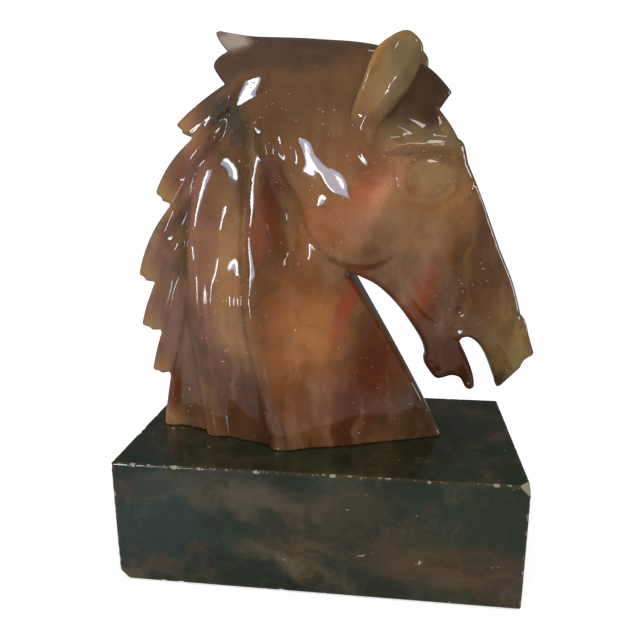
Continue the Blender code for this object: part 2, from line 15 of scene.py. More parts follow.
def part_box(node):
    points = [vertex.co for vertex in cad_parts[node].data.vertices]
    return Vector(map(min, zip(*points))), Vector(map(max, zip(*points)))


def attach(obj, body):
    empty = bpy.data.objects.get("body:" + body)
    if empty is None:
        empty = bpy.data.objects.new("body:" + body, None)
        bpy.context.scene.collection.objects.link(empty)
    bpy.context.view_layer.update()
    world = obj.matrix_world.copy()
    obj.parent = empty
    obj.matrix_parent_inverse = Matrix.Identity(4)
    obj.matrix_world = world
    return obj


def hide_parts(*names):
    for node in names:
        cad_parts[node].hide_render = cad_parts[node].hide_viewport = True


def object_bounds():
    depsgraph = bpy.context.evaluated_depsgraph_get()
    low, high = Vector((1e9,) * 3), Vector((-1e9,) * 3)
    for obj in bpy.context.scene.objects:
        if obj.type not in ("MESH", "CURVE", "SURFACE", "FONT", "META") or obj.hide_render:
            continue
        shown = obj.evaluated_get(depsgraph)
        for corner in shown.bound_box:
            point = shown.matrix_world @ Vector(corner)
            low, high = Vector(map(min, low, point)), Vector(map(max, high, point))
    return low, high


bl_info = {
    "name": "Onyx Horse Head",
    "version": (1, 0, 0),
    "blender": (4, 5, 0),
    "location": "View3D > Sidebar > Horse Head",
    "description": "Carves and polishes an onyx horse head and its stone plinth",
    "category": "Add Mesh",
}

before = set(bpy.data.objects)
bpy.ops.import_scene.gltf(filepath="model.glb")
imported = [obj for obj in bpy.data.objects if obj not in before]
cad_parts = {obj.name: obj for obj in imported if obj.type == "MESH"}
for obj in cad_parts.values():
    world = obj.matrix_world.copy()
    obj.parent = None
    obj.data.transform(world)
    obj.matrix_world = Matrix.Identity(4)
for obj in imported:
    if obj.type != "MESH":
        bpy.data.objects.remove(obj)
CAD_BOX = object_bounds()
HEAD_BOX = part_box("horse_head")
PLINTH_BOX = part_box("plinth")

# Place and unit of the carving's drawing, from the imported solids: its height, heel and
# toe in drawing units, and what the plinth's top leaves free behind the heel, in metres
DRAWN_HEIGHT = 203.2
HEEL_X = -91.2
TOE_X = 62.5
HEEL_MARGIN = 0.0088
SEAT_HEIGHT = HEAD_BOX[0][2]
UNIT = (HEAD_BOX[1][2] - HEAD_BOX[0][2]) / DRAWN_HEIGHT
DEPTH_UNIT = 0.001
HEEL_PLACE = PLINTH_BOX[0][0] + HEEL_MARGIN

# Fineness of the carved surface, in drawing units
OUTLINE_STEP = 1.0
LATTICE_STEP = 0.93
LINE_STEP = 0.9
RING_SHARES = (0.12, 0.28, 0.48, 0.72, 1.0)
EDGE_STEP = 0.8
RIDGE_STEP = 1.5
SWELL_STEP = 2.0
SEAM_STEP = 0.4
RIM_FULLNESS = 2.6
RIM_PASSES = 8
SHEET_EASE = 4.0
SHEET_PASSES = 2
FIXED_SHARE = 0.3
REACH_MARGIN = 1.0

# A ring along the rim keeps the points that stand this share of its inset inside, and
# this far over the foot; a feature's points stay this far from the outline
RING_TRUTH = 0.93
FOOT_CLEARANCE = 0.4
OUTLINE_CLEARANCE = 3.0

# Rows of points down an edge's steep side, as shares of its width
STEEP_SHARES = (0.0, 0.22, 0.45, 0.7, 1.0)

# Locks of the mane down the back: tip, root under it, and how far its upper edge bulges
MANE_LOCKS = (
    ((-74.9, 159.7), (-65.3, 153.6), 1.5),
    ((-87.5, 126.6), (-78.0, 121.3), 2.6),
    ((-99.5, 84.0), (-89.9, 80.8), 3.4),
    ((-100.7, 56.0), (-88.0, 54.4), 1.0),
    ((-96.4, 30.2), (-84.9, 30.7), 0.8),
)
LOCK_TOOTH = 1.3
TOOTH_END = 0.44
STEP_END = 0.50

# Runs of the outline from the toe round to the mane, each with the radius of its rim
FRONT_RUNS = (
    ("neck front", 3.0, ((TOE_X, 0), (52.5, 20.4), (36.4, 49.9), (27.1, 65.8), (13.7, 88.0))),
    ("jaw", 4.5, ((13.7, 88.0), (19.5, 85.6), (27.2, 81.2), (36.5, 72.1), (46.1, 59.1),
                  (50.5, 51.4), (52.1, 44.9))),
    ("chin", 3.0, ((52.1, 44.9), (51.8, 41.2), (54.3, 36.9), (58.0, 32.6), (61.0, 32.4),
                   (66.4, 34.0), (70.4, 32.9), (72.2, 30.6), (74.0, 27.2), (76.5, 26.3),
                   (78.6, 28.0))),
    ("mouth", 2.2, ((78.6, 28.0), (77.5, 34.8), (74.1, 43.5), (70.2, 51.5), (70.0, 54.6),
                    (72.6, 56.1), (75.5, 55.0), (79.2, 51.5), (83.2, 44.8), (88.0, 33.3),
                    (89.3, 29.3), (91.1, 28.5))),
    ("upper lip", 2.6, ((91.1, 28.5), (95.5, 34.0), (101.0, 40.6))),
    ("lip tip", 2.6, ((101.0, 40.6), (102.5, 44.5), (107.3, 47.2))),
    ("nostril", 3.0, ((107.3, 47.2), (103.8, 56.9), (101.6, 64.2), (99.0, 67.4))),
    ("nose", 4.2, ((99.0, 67.4), (97.6, 73.0), (93.9, 84.5), (86.7, 100.5), (78.5, 120.8),
                   (72.7, 134.1), (69.2, 141.5), (68.2, 145.5), (66.6, 150.4), (63.8, 152.8))),
    ("forehead", 4.0, ((63.8, 152.8), (59.5, 159.8), (54.6, 165.9))),
    ("forelock under", 2.2, ((54.6, 165.9), (60.0, 173.7))),
    ("crest", 3.2, ((60.0, 173.7), (53.2, 181.3), (47.3, 185.8), (36.0, 191.3), (22.0, 195.3),
                    (-2.6, 198.1), (-31.6, 199.8), (-41.3, 201.2), (-51.3, 203.2))),
    ("crest tip", 2.0, ((-51.3, 203.2), (-52.4, 200.8), (-47.0, 193.3))),
    ("round lock", 2.6, ((-47.0, 193.3), (-52.1, 190.9), (-54.5, 187.3), (-52.4, 183.0),
                         (-48.6, 178.5))),
)
HEEL_RUN = ("heel", 3.0, (MANE_LOCKS[-1][1], (-88.3, 14.8), (HEEL_X, 0.0)))
LOCK_RIM = 2.4
THINNEST = 2.5

# Half-thickness of the form under its locks: x, v, half-thickness
FORM = {
    "neck foot": ((-91, 0, 3.5), (-78, 0, 6), (-64, 0, 11), (-50, 0, 17), (-36, 0, 22.5),
                  (-22, 0, 25), (-8, 0, 26), (10, 0, 22.5), (30, 0, 15), (48, 0, 9), (62, 0, 4)),
    "low neck": ((-90, 45, 4.5), (-76, 45, 8.5), (-62, 45, 13.5), (-48, 45, 18.5),
                 (-31, 45, 21.5), (-10, 45, 25), (10, 45, 21.5), (27, 48, 12.5), (36, 49, 8.5)),
    "middle neck": ((-97, 82, 4.5), (-84, 88, 7.5), (-68, 86, 12.5), (-52, 86, 17.5),
                    (-34, 86, 18), (-15, 86, 23), (2, 84, 18.5), (14, 86, 17)),
    "upper neck": ((-86, 125, 4.5), (-72, 124, 8.5), (-58, 121, 11), (-45, 119, 12),
                   (-31, 120, 15), (-18, 118, 12.5)),
    "withers": ((-74, 157, 4.5), (-60, 158, 7.5), (-47, 158, 11), (-36, 160, 18), (-24, 158, 20),
                (-10, 164, 21)),
    "crest": ((-51, 200, 5), (-50, 187, 6), (-40, 182, 12.5), (-30, 199, 8.5), (-26, 176, 16),
              (-10, 180, 17), (0, 197, 8.5), (6, 178, 17.5), (24, 194, 10)),
    "cheek": ((-8, 150, 24.5), (4, 152, 24.5), (-6, 128, 21), (12, 126, 28), (30, 130, 26.5),
              (10, 104, 21), (28, 106, 20.5)),
    "ear root": ((14, 163, 22), (21, 152, 24), (27, 170, 17.5)),
    "forehead": ((44, 170, 10), (58, 173, 6), (54, 160, 12), (62, 153, 12.5)),
    "eye": ((42, 136, 22.5), (53, 134, 21), (62, 134, 16.5), (70, 137, 10)),
    "nose": ((45, 112, 18.5), (58, 114, 16.5), (68, 115, 12.5), (78, 119, 8), (76, 92, 11),
             (88, 96, 7.5), (95, 76, 8)),
    "jaw": ((37, 92, 14.5), (50, 92, 13.5), (64, 92, 13), (48, 68, 8.5), (60, 68, 10.5),
            (56, 42, 7.5), (66, 40, 7), (76, 30, 4.5)),
    "muzzle": ((72, 70, 12.5), (84, 72, 12), (78, 60, 12), (88, 54, 12), (98, 58, 10.5),
               (104, 49, 8.5), (92, 33, 6), (83, 47, 9)),
    "cheek's shoulder": ((-12, 146, 22.5), (-4, 138, 25), (4, 146, 25.5), (-2, 122, 23),
                         (8, 134, 27.5), (18, 140, 27.5), (6, 114, 23.5), (20, 118, 27.5)),
    "poll": ((-12, 190, 14), (8, 188, 15), (-18, 170, 18), (2, 166, 21)),
    "beside the main lock": ((-38, 140, 15), (-30, 142, 18), (-40, 105, 16), (-31, 105, 17),
                             (-40, 75, 22), (-31, 75, 19.5)),
    "mane's root": ((-56, 140, 13.5), (-63, 140, 11.5), (-57, 105, 12.5), (-66, 100, 13.5)),
}

# Share of a path over which an end of it fades out
END_FADE = 0.2

# Overlapping edges: lift, width of the steep side (right of the path), width of the
# gentle side (left of the path), which ends fade out, and the path
EDGES = {
    "main lock": (6.0, 4.6, 20.0, "start", (
        (-26.5, 155), (-33.0, 133), (-35.4, 109), (-34.4, 85), (-33.0, 62), (-30.6, 45),
        (-26.9, 27.2), (-22.4, 0))),
    "back lock": (4.6, 3.8, 12.0, "start", (
        (-54.0, 145), (-61.0, 128), (-64.0, 113), (-66.6, 75), (-65.4, 53), (-62.5, 20),
        (-60.4, 0))),
    "jowl": (3.0, 3.0, 12.0, "both", (
        (-17.0, 163), (-19.6, 156), (-19.0, 147), (-14.8, 135.5), (-9.7, 126.2),
        (-3.2, 110.3), (7.0, 98.4), (21.0, 95.0), (30.6, 98.2), (40.0, 104.5))),
    "crest slab": (0.5, 0.7, 7.0, "none", ((-46.5, 192.6), (-20.0, 190.6), (20.0, 189.5))),
    "lock 1": (2.6, 2.4, 9.0, "end", (
        (-65.0, 154.0), (-50.0, 164.0), (-37.5, 172.5), (-28.5, 182))),
    "lock 2": (2.4, 2.4, 8.0, "end", (
        (-77.6, 121.8), (-70.0, 132.5), (-60.0, 146.5), (-46.5, 161))),
    "lock 3": (2.2, 2.4, 7.0, "end", (
        (-89.4, 81.4), (-82.0, 100), (-73.0, 118), (-62.5, 134.0))),
    "lock 4": (2.2, 2.4, 6.0, "end", (
        (-87.6, 55.2), (-81.5, 75), (-75.5, 94), (-69.5, 112))),
    "lock 5": (2.2, 2.4, 6.0, "end", (
        (-84.6, 31.6), (-79.0, 50), (-74.0, 70), (-70.0, 88))),
}

# Swelling of the mane's locks: height, half-width at the root and at the tip, number of
# strands across, and the axis from the root to the tip
SWELLS = (
    (3.4, 5.0, 8.0, 5, ((-33.0, 180), (-53.0, 168), (-70.1, 156.7))),
    (3.2, 5.0, 8.0, 5, ((-49.0, 161), (-62.0, 150), (-74.0, 137.5), (-82.8, 124.0))),
    (3.0, 4.5, 7.0, 6, ((-64.0, 138), (-77.0, 119), (-87.5, 100), (-94.7, 82.4))),
    (2.8, 4.0, 7.0, 6, ((-73.0, 110), (-82.0, 90), (-89.5, 72), (-94.3, 55.2))),
    (2.6, 4.0, 6.0, 5, ((-75.5, 84), (-82.0, 64), (-87.0, 47), (-90.6, 30.5))),
    (2.4, 4.0, 6.0, 4, ((-77.0, 50), (-83.5, 27), (-86.0, 2))),
)

# Share of a lock over which its swelling rises from the root, and its strands: where they
# start, over what share they rise, and how far, how often and how aslant they weave
SWELL_RISE = 0.3
STRAND_START = 0.12
STRAND_RISE = 0.35
WEAVE_REACH = 0.25
WEAVE_TURNS = 9.0
WEAVE_SLANT = 2.0

# Thin end of a lock, where an amber glow is painted: its start and its length as shares of
# the lock, and how far out it reaches in half-widths
TIP_START = 0.7
TIP_LENGTH = 0.3
TIP_REACH = 1.6

# Ridges (positive) and grooves (negative): height, half-width, and the path
RIDGES = {
    "brow": (2.8, 4.0, ((27.0, 147.5), (40.0, 149.3), (53.0, 149.2), (64.5, 147.5))),
    "main lock's branch": (2.6, 4.0, ((-27.0, 157), (-24.5, 145), (-20.5, 129))),
    "hollow behind the jowl": (-4.5, 9.0, ((-24.0, 146), (-22.5, 128), (-18.0, 108),
                                            (-10.0, 90))),
    "facial crest": (1.8, 7.0, ((56.5, 125), (60.0, 115), (60.2, 103), (65.0, 81))),
    "jaw hollow": (-0.9, 6.5, ((44.0, 96), (51.0, 85), (57.5, 76))),
    "jaw bar": (1.4, 4.5, ((38.0, 94), (47.0, 76), (59.5, 64))),
    "forelock hollow": (-2.2, 8.0, ((33.0, 166), (44.0, 161), (52.0, 156))),
    "ear root": (1.5, 4.2, ((23.0, 163), (20.0, 156), (19.6, 149), (24.5, 141.5), (28, 139))),
    "mouth edge": (1.2, 3.0, ((66.5, 55), (69.5, 58.6), (74.0, 58.6), (78.5, 55.5))),
}

# Ground flats, each tilted so that the polish shows the window in it: centre, half-sizes,
# turn in degrees, and the slopes of the surface there
FLATS = {
    "behind the cheek": ((-14.4, 147.2), (8.5, 4.2), -58.0, (0.27, -0.07)),
    "main lock's root": ((-27.2, 160.3), (6.0, 4.5), 47.0, (0.01, -0.20)),
    "tuft's root": ((-33.5, 175.1), (11.0, 4.8), 43.0, (0.10, 0.02)),
    "second lock's root": ((-51.3, 156.3), (7.0, 1.7), 53.0, (0.08, -0.03)),
    "back lock's face": ((-60.1, 124.7), (12.0, 1.7), 69.0, (0.07, -0.07)),
    "main lock's face": ((-32.2, 134.0), (22.0, 2.6), 79.0, (0.10, -0.04)),
    "cheek's upper face": ((-5.9, 148.4), (7.0, 2.6), -57.0, (0.15, -0.04)),
    "cheek's lower face": ((5.9, 132.9), (6.5, 3.6), -43.0, (0.13, -0.05)),
    "cheek's middle face": ((0.2, 140.0), (6.0, 2.4), -52.0, (0.14, -0.04)),
    "nostril's wing": ((95.9, 63.8), (2.6, 2.0), 53.0, (0.33, -0.18)),
    "ear's foot": ((19.7, 151.7), (4.2, 0.9), 91.0, (0.20, -0.03)),
    "below the ear's foot": ((21.6, 145.7), (3.8, 0.9), 126.0, (0.20, -0.04)),
}

# A flat reaches to this multiple of its half-sizes and fades out over this much of it
FLAT_REACH = 1.3
FLAT_FADE = 0.6

# Fine carving over the form, laid out as the ridges are
FINE_LINES = {
    "brow's upper line": (0.5, 1.2, ((36.1, 156.6), (39.4, 152.9), (50.0, 152.2), (63.0, 151.2))),
    "brow's lower line": (0.45, 1.1, ((28.0, 147.0), (40.0, 146.6), (54.0, 146.4))),
    "brow's seam": (-0.5, 1.2, ((40.0, 150.6), (52.0, 150.3), (64.0, 148.8))),
    "outer lid": (0.7, 1.2, ((39.5, 146.0), (36.4, 142.0), (35.8, 136.0), (38.0, 129.0),
                              (42.5, 124.3), (48.5, 122.4))),
    "fold at the temple": (0.55, 1.1, ((33.0, 141.5), (32.6, 136.5), (34.2, 130.5))),
    "first fold below": (0.7, 1.1, ((56.0, 124.5), (58.8, 118.5), (60.2, 112.5))),
    "second fold below": (0.6, 1.1, ((61.0, 125.5), (62.6, 120.0), (63.4, 114.5))),
    "third fold below": (0.55, 1.1, ((65.5, 124.5), (66.3, 119.5), (66.5, 115.5))),
    "nose crease left": (1.2, 1.7, ((71.5, 134.5), (69.6, 129.5), (68.6, 124.5))),
    "nose crease right": (1.5, 1.8, ((71.5, 134.5), (74.8, 127.0), (79.5, 115.5))),
    "neck flute a": (-0.5, 2.4, ((-59.8, 92.0), (-60.2, 72.0), (-60.0, 50.0), (-57.0, 12.0))),
    "neck flute b": (-0.4, 2.0, ((-56.0, 90.0), (-56.3, 70.0), (-55.6, 48.0), (-51.0, 10.0))),
    "neck flute c": (-0.45, 2.2, ((-43.0, 96.0), (-43.4, 80.0), (-42.5, 58.0), (-36.0, 12.0))),
    "neck flute d": (-0.3, 1.8, ((-38.8, 88.0), (-38.6, 70.0), (-37.6, 52.0), (-33.0, 18.0))),
    "upper lock line": (0.45, 1.3, ((-36.0, 181.0), (-45.5, 176.8), (-57.0, 170.8))),
    "lock 2 left line": (0.45, 1.5, ((-56.0, 156.5), (-63.0, 152.0), (-71.5, 146.5))),
    "chin facet": (-0.7, 4.0, ((53.5, 44.0), (56.5, 38.0), (61.0, 35.5))),
    "nostril rim": (0.6, 2.0, ((94.5, 73.0), (92.2, 66.0), (94.5, 60.0), (99.5, 57.0))),
    "nostril hollow": (-1.1, 3.0, ((97.5, 70.0), (98.5, 63.5), (100.5, 60.0))),
    "lip fold": (0.6, 1.8, ((86.0, 57.0), (90.5, 52.0), (94.0, 45.5), (97.5, 38.5))),
    "corner fold": (0.5, 1.5, ((61.5, 66.0), (65.5, 62.5), (68.5, 62.0))),
    "slab facet": (-0.8, 5.0, ((-47.5, 199.0), (-38.0, 196.5), (-28.0, 195.5))),
}

# Dimple at the mouth's corner
DIMPLE_CENTRE = (67.5, 70.5)
DIMPLE_RADIUS = 2.7
DIMPLE_DEPTH = 1.3

# Eye: the lid's place and half-width and the socket's reach are shares of its radii
EYE_CENTRE = (50.3, 134.6)
EYE_RADII = (10.2, 8.8)
EYE_SWELL = 1.7
LID_SWELL = 0.9
LID_AT = 1.26
LID_WIDTH = 0.17
SOCKET_DEPTH = 1.3
SOCKET_REACH = 1.9

# Rings of points round the eye: size as a share of its radii, and number of points
EYE_RINGS = ((0.9, 56), (0.99, 60), (1.08, 64), (LID_AT, 72), (1.5, 84))

# One ear: its outline, the height of its outer face, and the depth of its inner face
EAR_LOOP = ((24.5, 147.5), (27.5, 157.5), (34.1, 166.6), (40.0, 174.2), (44.1, 183.2),
            (45.3, 190.8), (41.4, 196.2), (37.1, 197.9), (30.7, 195.3), (24.9, 190.8),
            (21.3, 184.1), (18.7, 176.7), (15.2, 168.3), (12.5, 158.5), (14.0, 149.5),
            (19.0, 144.0))
EAR_FORM = ((20.2, 148, 25.2), (19.5, 153, 25.2), (20.6, 158.5, 25.0), (23.6, 163.7, 25.1),
            (31.6, 174, 25.9), (36.9, 181.6, 26.3), (41.2, 189.5, 26.3), (27.8, 157.7, 21.0),
            (35.0, 167.0, 22.2), (40.4, 174.3, 22.8), (44.6, 183.7, 22.6), (13.5, 162, 23.4),
            (15.5, 168.3, 23.7), (19.2, 176.7, 24.1), (21.8, 184.1, 24.2), (25, 190.6, 24.2),
            (31, 195, 23.8), (37, 197.6, 23.2), (21.5, 168, 23.9), (25.5, 176, 23.2),
            (30, 184, 23.0), (34.5, 190, 23.4), (13.8, 155, 21.5), (15, 149, 20.5))

# Crest of the ear's outer face, from the foot to the tip
EAR_CREST = ((20, 148), (20.3, 155), (23.6, 163.7), (31.6, 174), (36.9, 181.6),
             (41.0, 189.5))

# Rims of the ear, laid out as the ridges are
EAR_LINES = {
    "front rim": (0.9, 2.0, ((19.6, 152), (20.6, 158.5), (23.6, 163.7), (31.6, 174),
                             (36.9, 181.6), (41.0, 189.5))),
    "rear rim": (0.5, 1.6, ((13.8, 165.0), (17.0, 171.0), (20.4, 179.0), (23.8, 186.5),
                            (28.5, 192.0))),
}

# Ground flats of the ear's rims, laid out as the head's are
EAR_FLATS = {
    "upper front rim": ((32.0, 173.0), (11.0, 1.3), 55.0, (0.22, 0.02)),
    "lower front rim": ((23.1, 160.6), (6.5, 1.2), 56.0, (0.21, 0.0)),
    "rear rim": ((18.7, 175.4), (12.0, 1.1), 60.0, (0.20, 0.02)),
    "spot in the conch": ((21.9, 172.7), (2.4, 0.9), 91.0, (0.20, 0.01)),
}

# Depth of the ear's inner face at its foot and tip, and the radius of its rim
EAR_INNER_FOOT = 9.0
EAR_INNER_TIP = 13.0
EAR_RIM = 2.6
EAR_FOOT_V = 144.0
EAR_TIP_V = 197.9

# How far the far ear stands ahead of the near one
EAR_LEAD = 4.0

# Corners of the area round the ear, and the depths under and over the form's surface
# between which a point there counts as the ear's
EAR_AREA = ((5.0, 143.0), (52.0, 200.0))
EAR_UNDER = 0.3
EAR_SPAN = 1.2

# Passes that even out the depth of the hollows
HOLLOW_PASSES = 3

# Plinth, in metres: the grid's step, how far in from the arris the wear is seen, and the
# grid's lines near an edge in multiples of the arris
PLINTH_STEP = 0.0011
WEAR_WIDTH = 0.004
ARRIS_LINES = (0.0, 0.15, 0.32, 0.52, 0.75, 1.0, 1.6, 2.4)

# Chips: the number on each edge (its axis, and whether it is on the high side of the
# other two), the part of the edge that they keep to, how far they lean, how deep and wide
# the smallest is, and how much wider the largest is
CHIP_COUNTS = {
    (0, 0, 1): 30, (2, 0, 0): 26, (2, 1, 0): 10, (0, 0, 0): 12, (0, 1, 1): 16, (1, 1, 1): 12,
    (1, 0, 1): 14, (2, 0, 1): 9, (2, 1, 1): 9, (0, 1, 0): 9, (1, 0, 0): 7, (1, 1, 0): 7,
}
CHIP_SEED = 11
CHIP_START = 0.03
CHIP_RANGE = 0.94
CHIP_LEAN = 0.35
CHIP_LEAST_DEPTH = 0.35
CHIP_RADIUS = 0.0008
CHIP_SPREAD = 0.0015
MILLIMETRES = 1000.0


# Curves and distances

def flow(points, step):
    """Smooth curve through the points (Catmull-Rom on the chord's square root),
    sampled about every step."""
    p = np.asarray(points, float)
    if len(p) == 2:
        count = max(1, int(round(np.linalg.norm(p[1] - p[0]) / step)))
        t = np.linspace(0.0, 1.0, count + 1)[:, None]
        return p[0] + (p[1] - p[0]) * t
    chord = np.linalg.norm(np.diff(p, axis=0), axis=1)
    knot = np.concatenate(([0.0], np.cumsum(np.sqrt(chord))))
    slope = np.empty_like(p)
    slope[1:-1] = (p[2:] - p[:-2]) / (knot[2:] - knot[:-2])[:, None]
    slope[0] = 2.0 * (p[1] - p[0]) / (knot[1] - knot[0]) - slope[1]
    slope[-1] = 2.0 * (p[-1] - p[-2]) / (knot[-1] - knot[-2]) - slope[-2]
    rows = []
    for i, length in enumerate(chord):
        count = max(1, int(round(length / step)))
        t = (np.arange(count) / count)[:, None]
        span = knot[i + 1] - knot[i]
        rows.append((2 * t**3 - 3 * t**2 + 1) * p[i] + (t**3 - 2 * t**2 + t) * span * slope[i]
                    + (3 * t**2 - 2 * t**3) * p[i + 1] + (t**3 - t**2) * span * slope[i + 1])
    rows.append(p[-1:])
    return np.vstack(rows)


def closed_flow(points, step):
    """Smooth closed curve through the points, without a repeated end."""
    p = list(points)
    lead = 3
    curve = flow(p[-lead:] + p + p[:lead + 1], step)
    first = np.linalg.norm(curve - np.asarray(p[0], float), axis=1)
    hits = np.flatnonzero(first < 1e-9)
    return curve[hits[0]:hits[-1]]


def nearest(path, pts):
    """Distance of each point to the path, the side it lies on (+1 left of the path,
    -1 right), its share along the path, the nearest spot, and the number of the path's
    point there, with its fraction. All points are set against one stretch at a time."""
    path = np.asarray(path, float)
    a = path[:-1]
    ab = path[1:] - a
    length = np.linalg.norm(ab, axis=1)
    start = np.concatenate(([0.0], np.cumsum(length)))
    best = np.full(len(pts), np.inf)
    side = np.ones(len(pts))
    share = np.zeros(len(pts))
    spot = np.zeros((len(pts), 2))
    at = np.zeros(len(pts))
    for i in range(len(ab)):
        rel = pts - a[i]
        t = np.clip(rel @ ab[i] / max(length[i]**2, 1e-12), 0.0, 1.0)
        off = rel - t[:, None] * ab[i]
        d = np.einsum("ij,ij->i", off, off)
        near = d < best - 1e-9
        best[near] = d[near]
        cross = ab[i][0] * rel[near, 1] - ab[i][1] * rel[near, 0]
        side[near] = np.where(cross >= 0.0, 1.0, -1.0)
        share[near] = (start[i] + t[near] * length[i]) / start[-1]
        spot[near] = pts[near] - off[near]
        at[near] = i + t[near]
    return np.sqrt(best), side, share, spot, at


def beside(path, pts, reach, step):
    """Picks the points within the reach of the path's box, and gives their distance to
    the smooth curve through the path, the side they lie on and their share along it."""
    path = np.asarray(path, float)
    low = path.min(axis=0) - reach
    high = path.max(axis=0) + reach
    pick = np.flatnonzero(np.all((pts > low) & (pts < high), axis=1))
    d, side, share, _, _ = nearest(flow(path, step), pts[pick])
    return pick, d, side, share


def spline_sheet(controls):
    """Thin sheet bent through the control heights (thin-plate spline: a plane plus one
    R R log R term for each control, where R R = r r + SHEET_EASE squared, so that the
    sheet is even at a control); returns it as a function."""
    c = np.asarray(controls, float)
    n = len(c)

    def bend(r):
        rounded = r * r + SHEET_EASE**2
        return 0.5 * rounded * np.log(rounded)

    gap = np.linalg.norm(c[:, None, :2] - c[None, :, :2], axis=2)
    flat = np.hstack((np.ones((n, 1)), c[:, :2]))
    system = np.zeros((n + 3, n + 3))
    system[:n, :n] = bend(gap)
    system[:n, n:] = flat
    system[n:, :n] = flat.T
    weight = np.linalg.solve(system, np.concatenate((c[:, 2], np.zeros(3))))

    def height(pts):
        total = weight[n] + pts @ weight[n + 1:]
        for control, pull in zip(c, weight[:n]):
            total = total + pull * bend(np.linalg.norm(pts - control[:2], axis=1))
        return total

    return height


def ease(t):
    """Smooth rise from 0 to 1 (three t squared less two t cubed)."""
    t = np.clip(t, 0.0, 1.0)
    return t * t * (3.0 - 2.0 * t)


def end_fade(ends, share):
    """Rises from 0 at the ends of a path that are named: start, end, both or none."""
    near = {"start": share, "end": 1.0 - share,
            "both": np.minimum(share, 1.0 - share), "none": np.ones_like(share)}[ends]
    return ease(near / END_FADE)


# Form of the carving

body_form = spline_sheet([row for rows in FORM.values() for row in rows])


def half_thickness(pts, polish):
    """Half-thickness of the head and neck: the bent sheet, plus the overlapping edges,
    the mane's swelling locks, the ridges and grooves, the ground flats and the eye. An
    edge's crest is rounded by the polish: its distance d becomes sqrt(d*d + p*p) - p."""
    h = body_form(pts)
    for lift, steep, gentle, ends, path in EDGES.values():
        pick, d, side, share = beside(path, pts, gentle + REACH_MARGIN, EDGE_STEP)
        d = np.sqrt(d * d + polish * polish) - polish
        rise = np.clip(1.0 - d / np.where(side > 0, gentle, steep), 0.0, 1.0)
        h[pick] += lift * end_fade(ends, share) * ease(rise)
    swell = np.zeros(len(pts))
    for height, root, tip, _, path in SWELLS:
        pick, d, _, share = beside(path, pts, tip + REACH_MARGIN, SWELL_STEP)
        width = root + (tip - root) * share
        crown = height * np.clip(1.0 - (d / width)**2, 0.0, 1.0)
        swell[pick] = np.maximum(swell[pick], crown * np.clip(share / SWELL_RISE, 0.0, 1.0))
    h = h + swell + ridge_relief(RIDGES, pts)
    h = with_flats(h, pts, FLATS)
    rho = np.hypot((pts[:, 0] - EYE_CENTRE[0]) / EYE_RADII[0],
                   (pts[:, 1] - EYE_CENTRE[1]) / EYE_RADII[1])
    ball = EYE_SWELL * np.sqrt(np.clip(1.0 - rho**2, 0.0, 1.0))
    lid = LID_SWELL * np.clip(1.0 - ((rho - LID_AT) / LID_WIDTH)**2, 0.0, 1.0)
    socket = SOCKET_DEPTH * np.clip(1.0 - (rho / SOCKET_REACH)**2, 0.0, 1.0)
    return np.maximum(h + ball + lid - socket, THINNEST)


def with_flats(h, pts, flats):
    """Heights with the ground flats in: each is a plane of the given slopes, at the mean
    level of what it takes the place of, that fades out around its ellipse."""
    for (x, v), (wide, tall), turn, (slope_x, slope_v) in flats.values():
        off = pts - (x, v)
        c, s = math.cos(math.radians(turn)), math.sin(math.radians(turn))
        far = np.hypot((off[:, 0] * c + off[:, 1] * s) / wide,
                       (off[:, 1] * c - off[:, 0] * s) / tall)
        mask = ease((FLAT_REACH - far) / FLAT_FADE)
        plane = off[:, 0] * slope_x + off[:, 1] * slope_v
        level = ((h - plane) * mask).sum() / max(mask.sum(), 1e-9)
        h = h + mask * (plane + level - h)
    return h


def ridge_relief(ridges, pts):
    """Sum of ridges: each is its height times (1 - (d / half-width) squared) squared
    across, and fades out at both ends."""
    h = np.zeros(len(pts))
    for height, width, path in ridges.values():
        pick, d, _, share = beside(path, pts, width, RIDGE_STEP)
        h[pick] += height * end_fade("both", share) * np.clip(1.0 - (d / width)**2, 0.0, 1.0)**2
    return h


def strand_relief(pts, depth):
    """Cut strands of the mane: across a lock of half-width w, at the distance u from its
    axis, the height is the depth times the cosine of pi k u / w, where k is its number
    of strands. A slow sine weaves them, and they fade at the lock's sides and root."""
    h = np.zeros(len(pts))
    for _, root, tip, strands, path in SWELLS:
        pick, d, side, share = beside(path, pts, tip + REACH_MARGIN, SWELL_STEP)
        width = root + (tip - root) * share
        u = np.clip(side * d / width, -1.0, 1.0)
        weave = WEAVE_REACH * np.sin(WEAVE_TURNS * share + WEAVE_SLANT * u)
        fade = ease((share - STRAND_START) / STRAND_RISE) * (1.0 - u * u)
        h[pick] += depth * fade * np.cos(math.pi * (strands * u + weave))
    return h


def fine_relief(pts, carving, strand_depth):
    """Carving that is finer than the solid's: the fine lines, the dimple at the mouth's
    corner (a bowl of its own depth), and the strands of the mane."""
    h = carving * ridge_relief(FINE_LINES, pts)
    r = np.hypot(pts[:, 0] - DIMPLE_CENTRE[0], pts[:, 1] - DIMPLE_CENTRE[1]) / DIMPLE_RADIUS
    h -= carving * DIMPLE_DEPTH * np.clip(1.0 - r * r, 0.0, 1.0)
    return h + strand_relief(pts, strand_depth)


# Outline of the carving

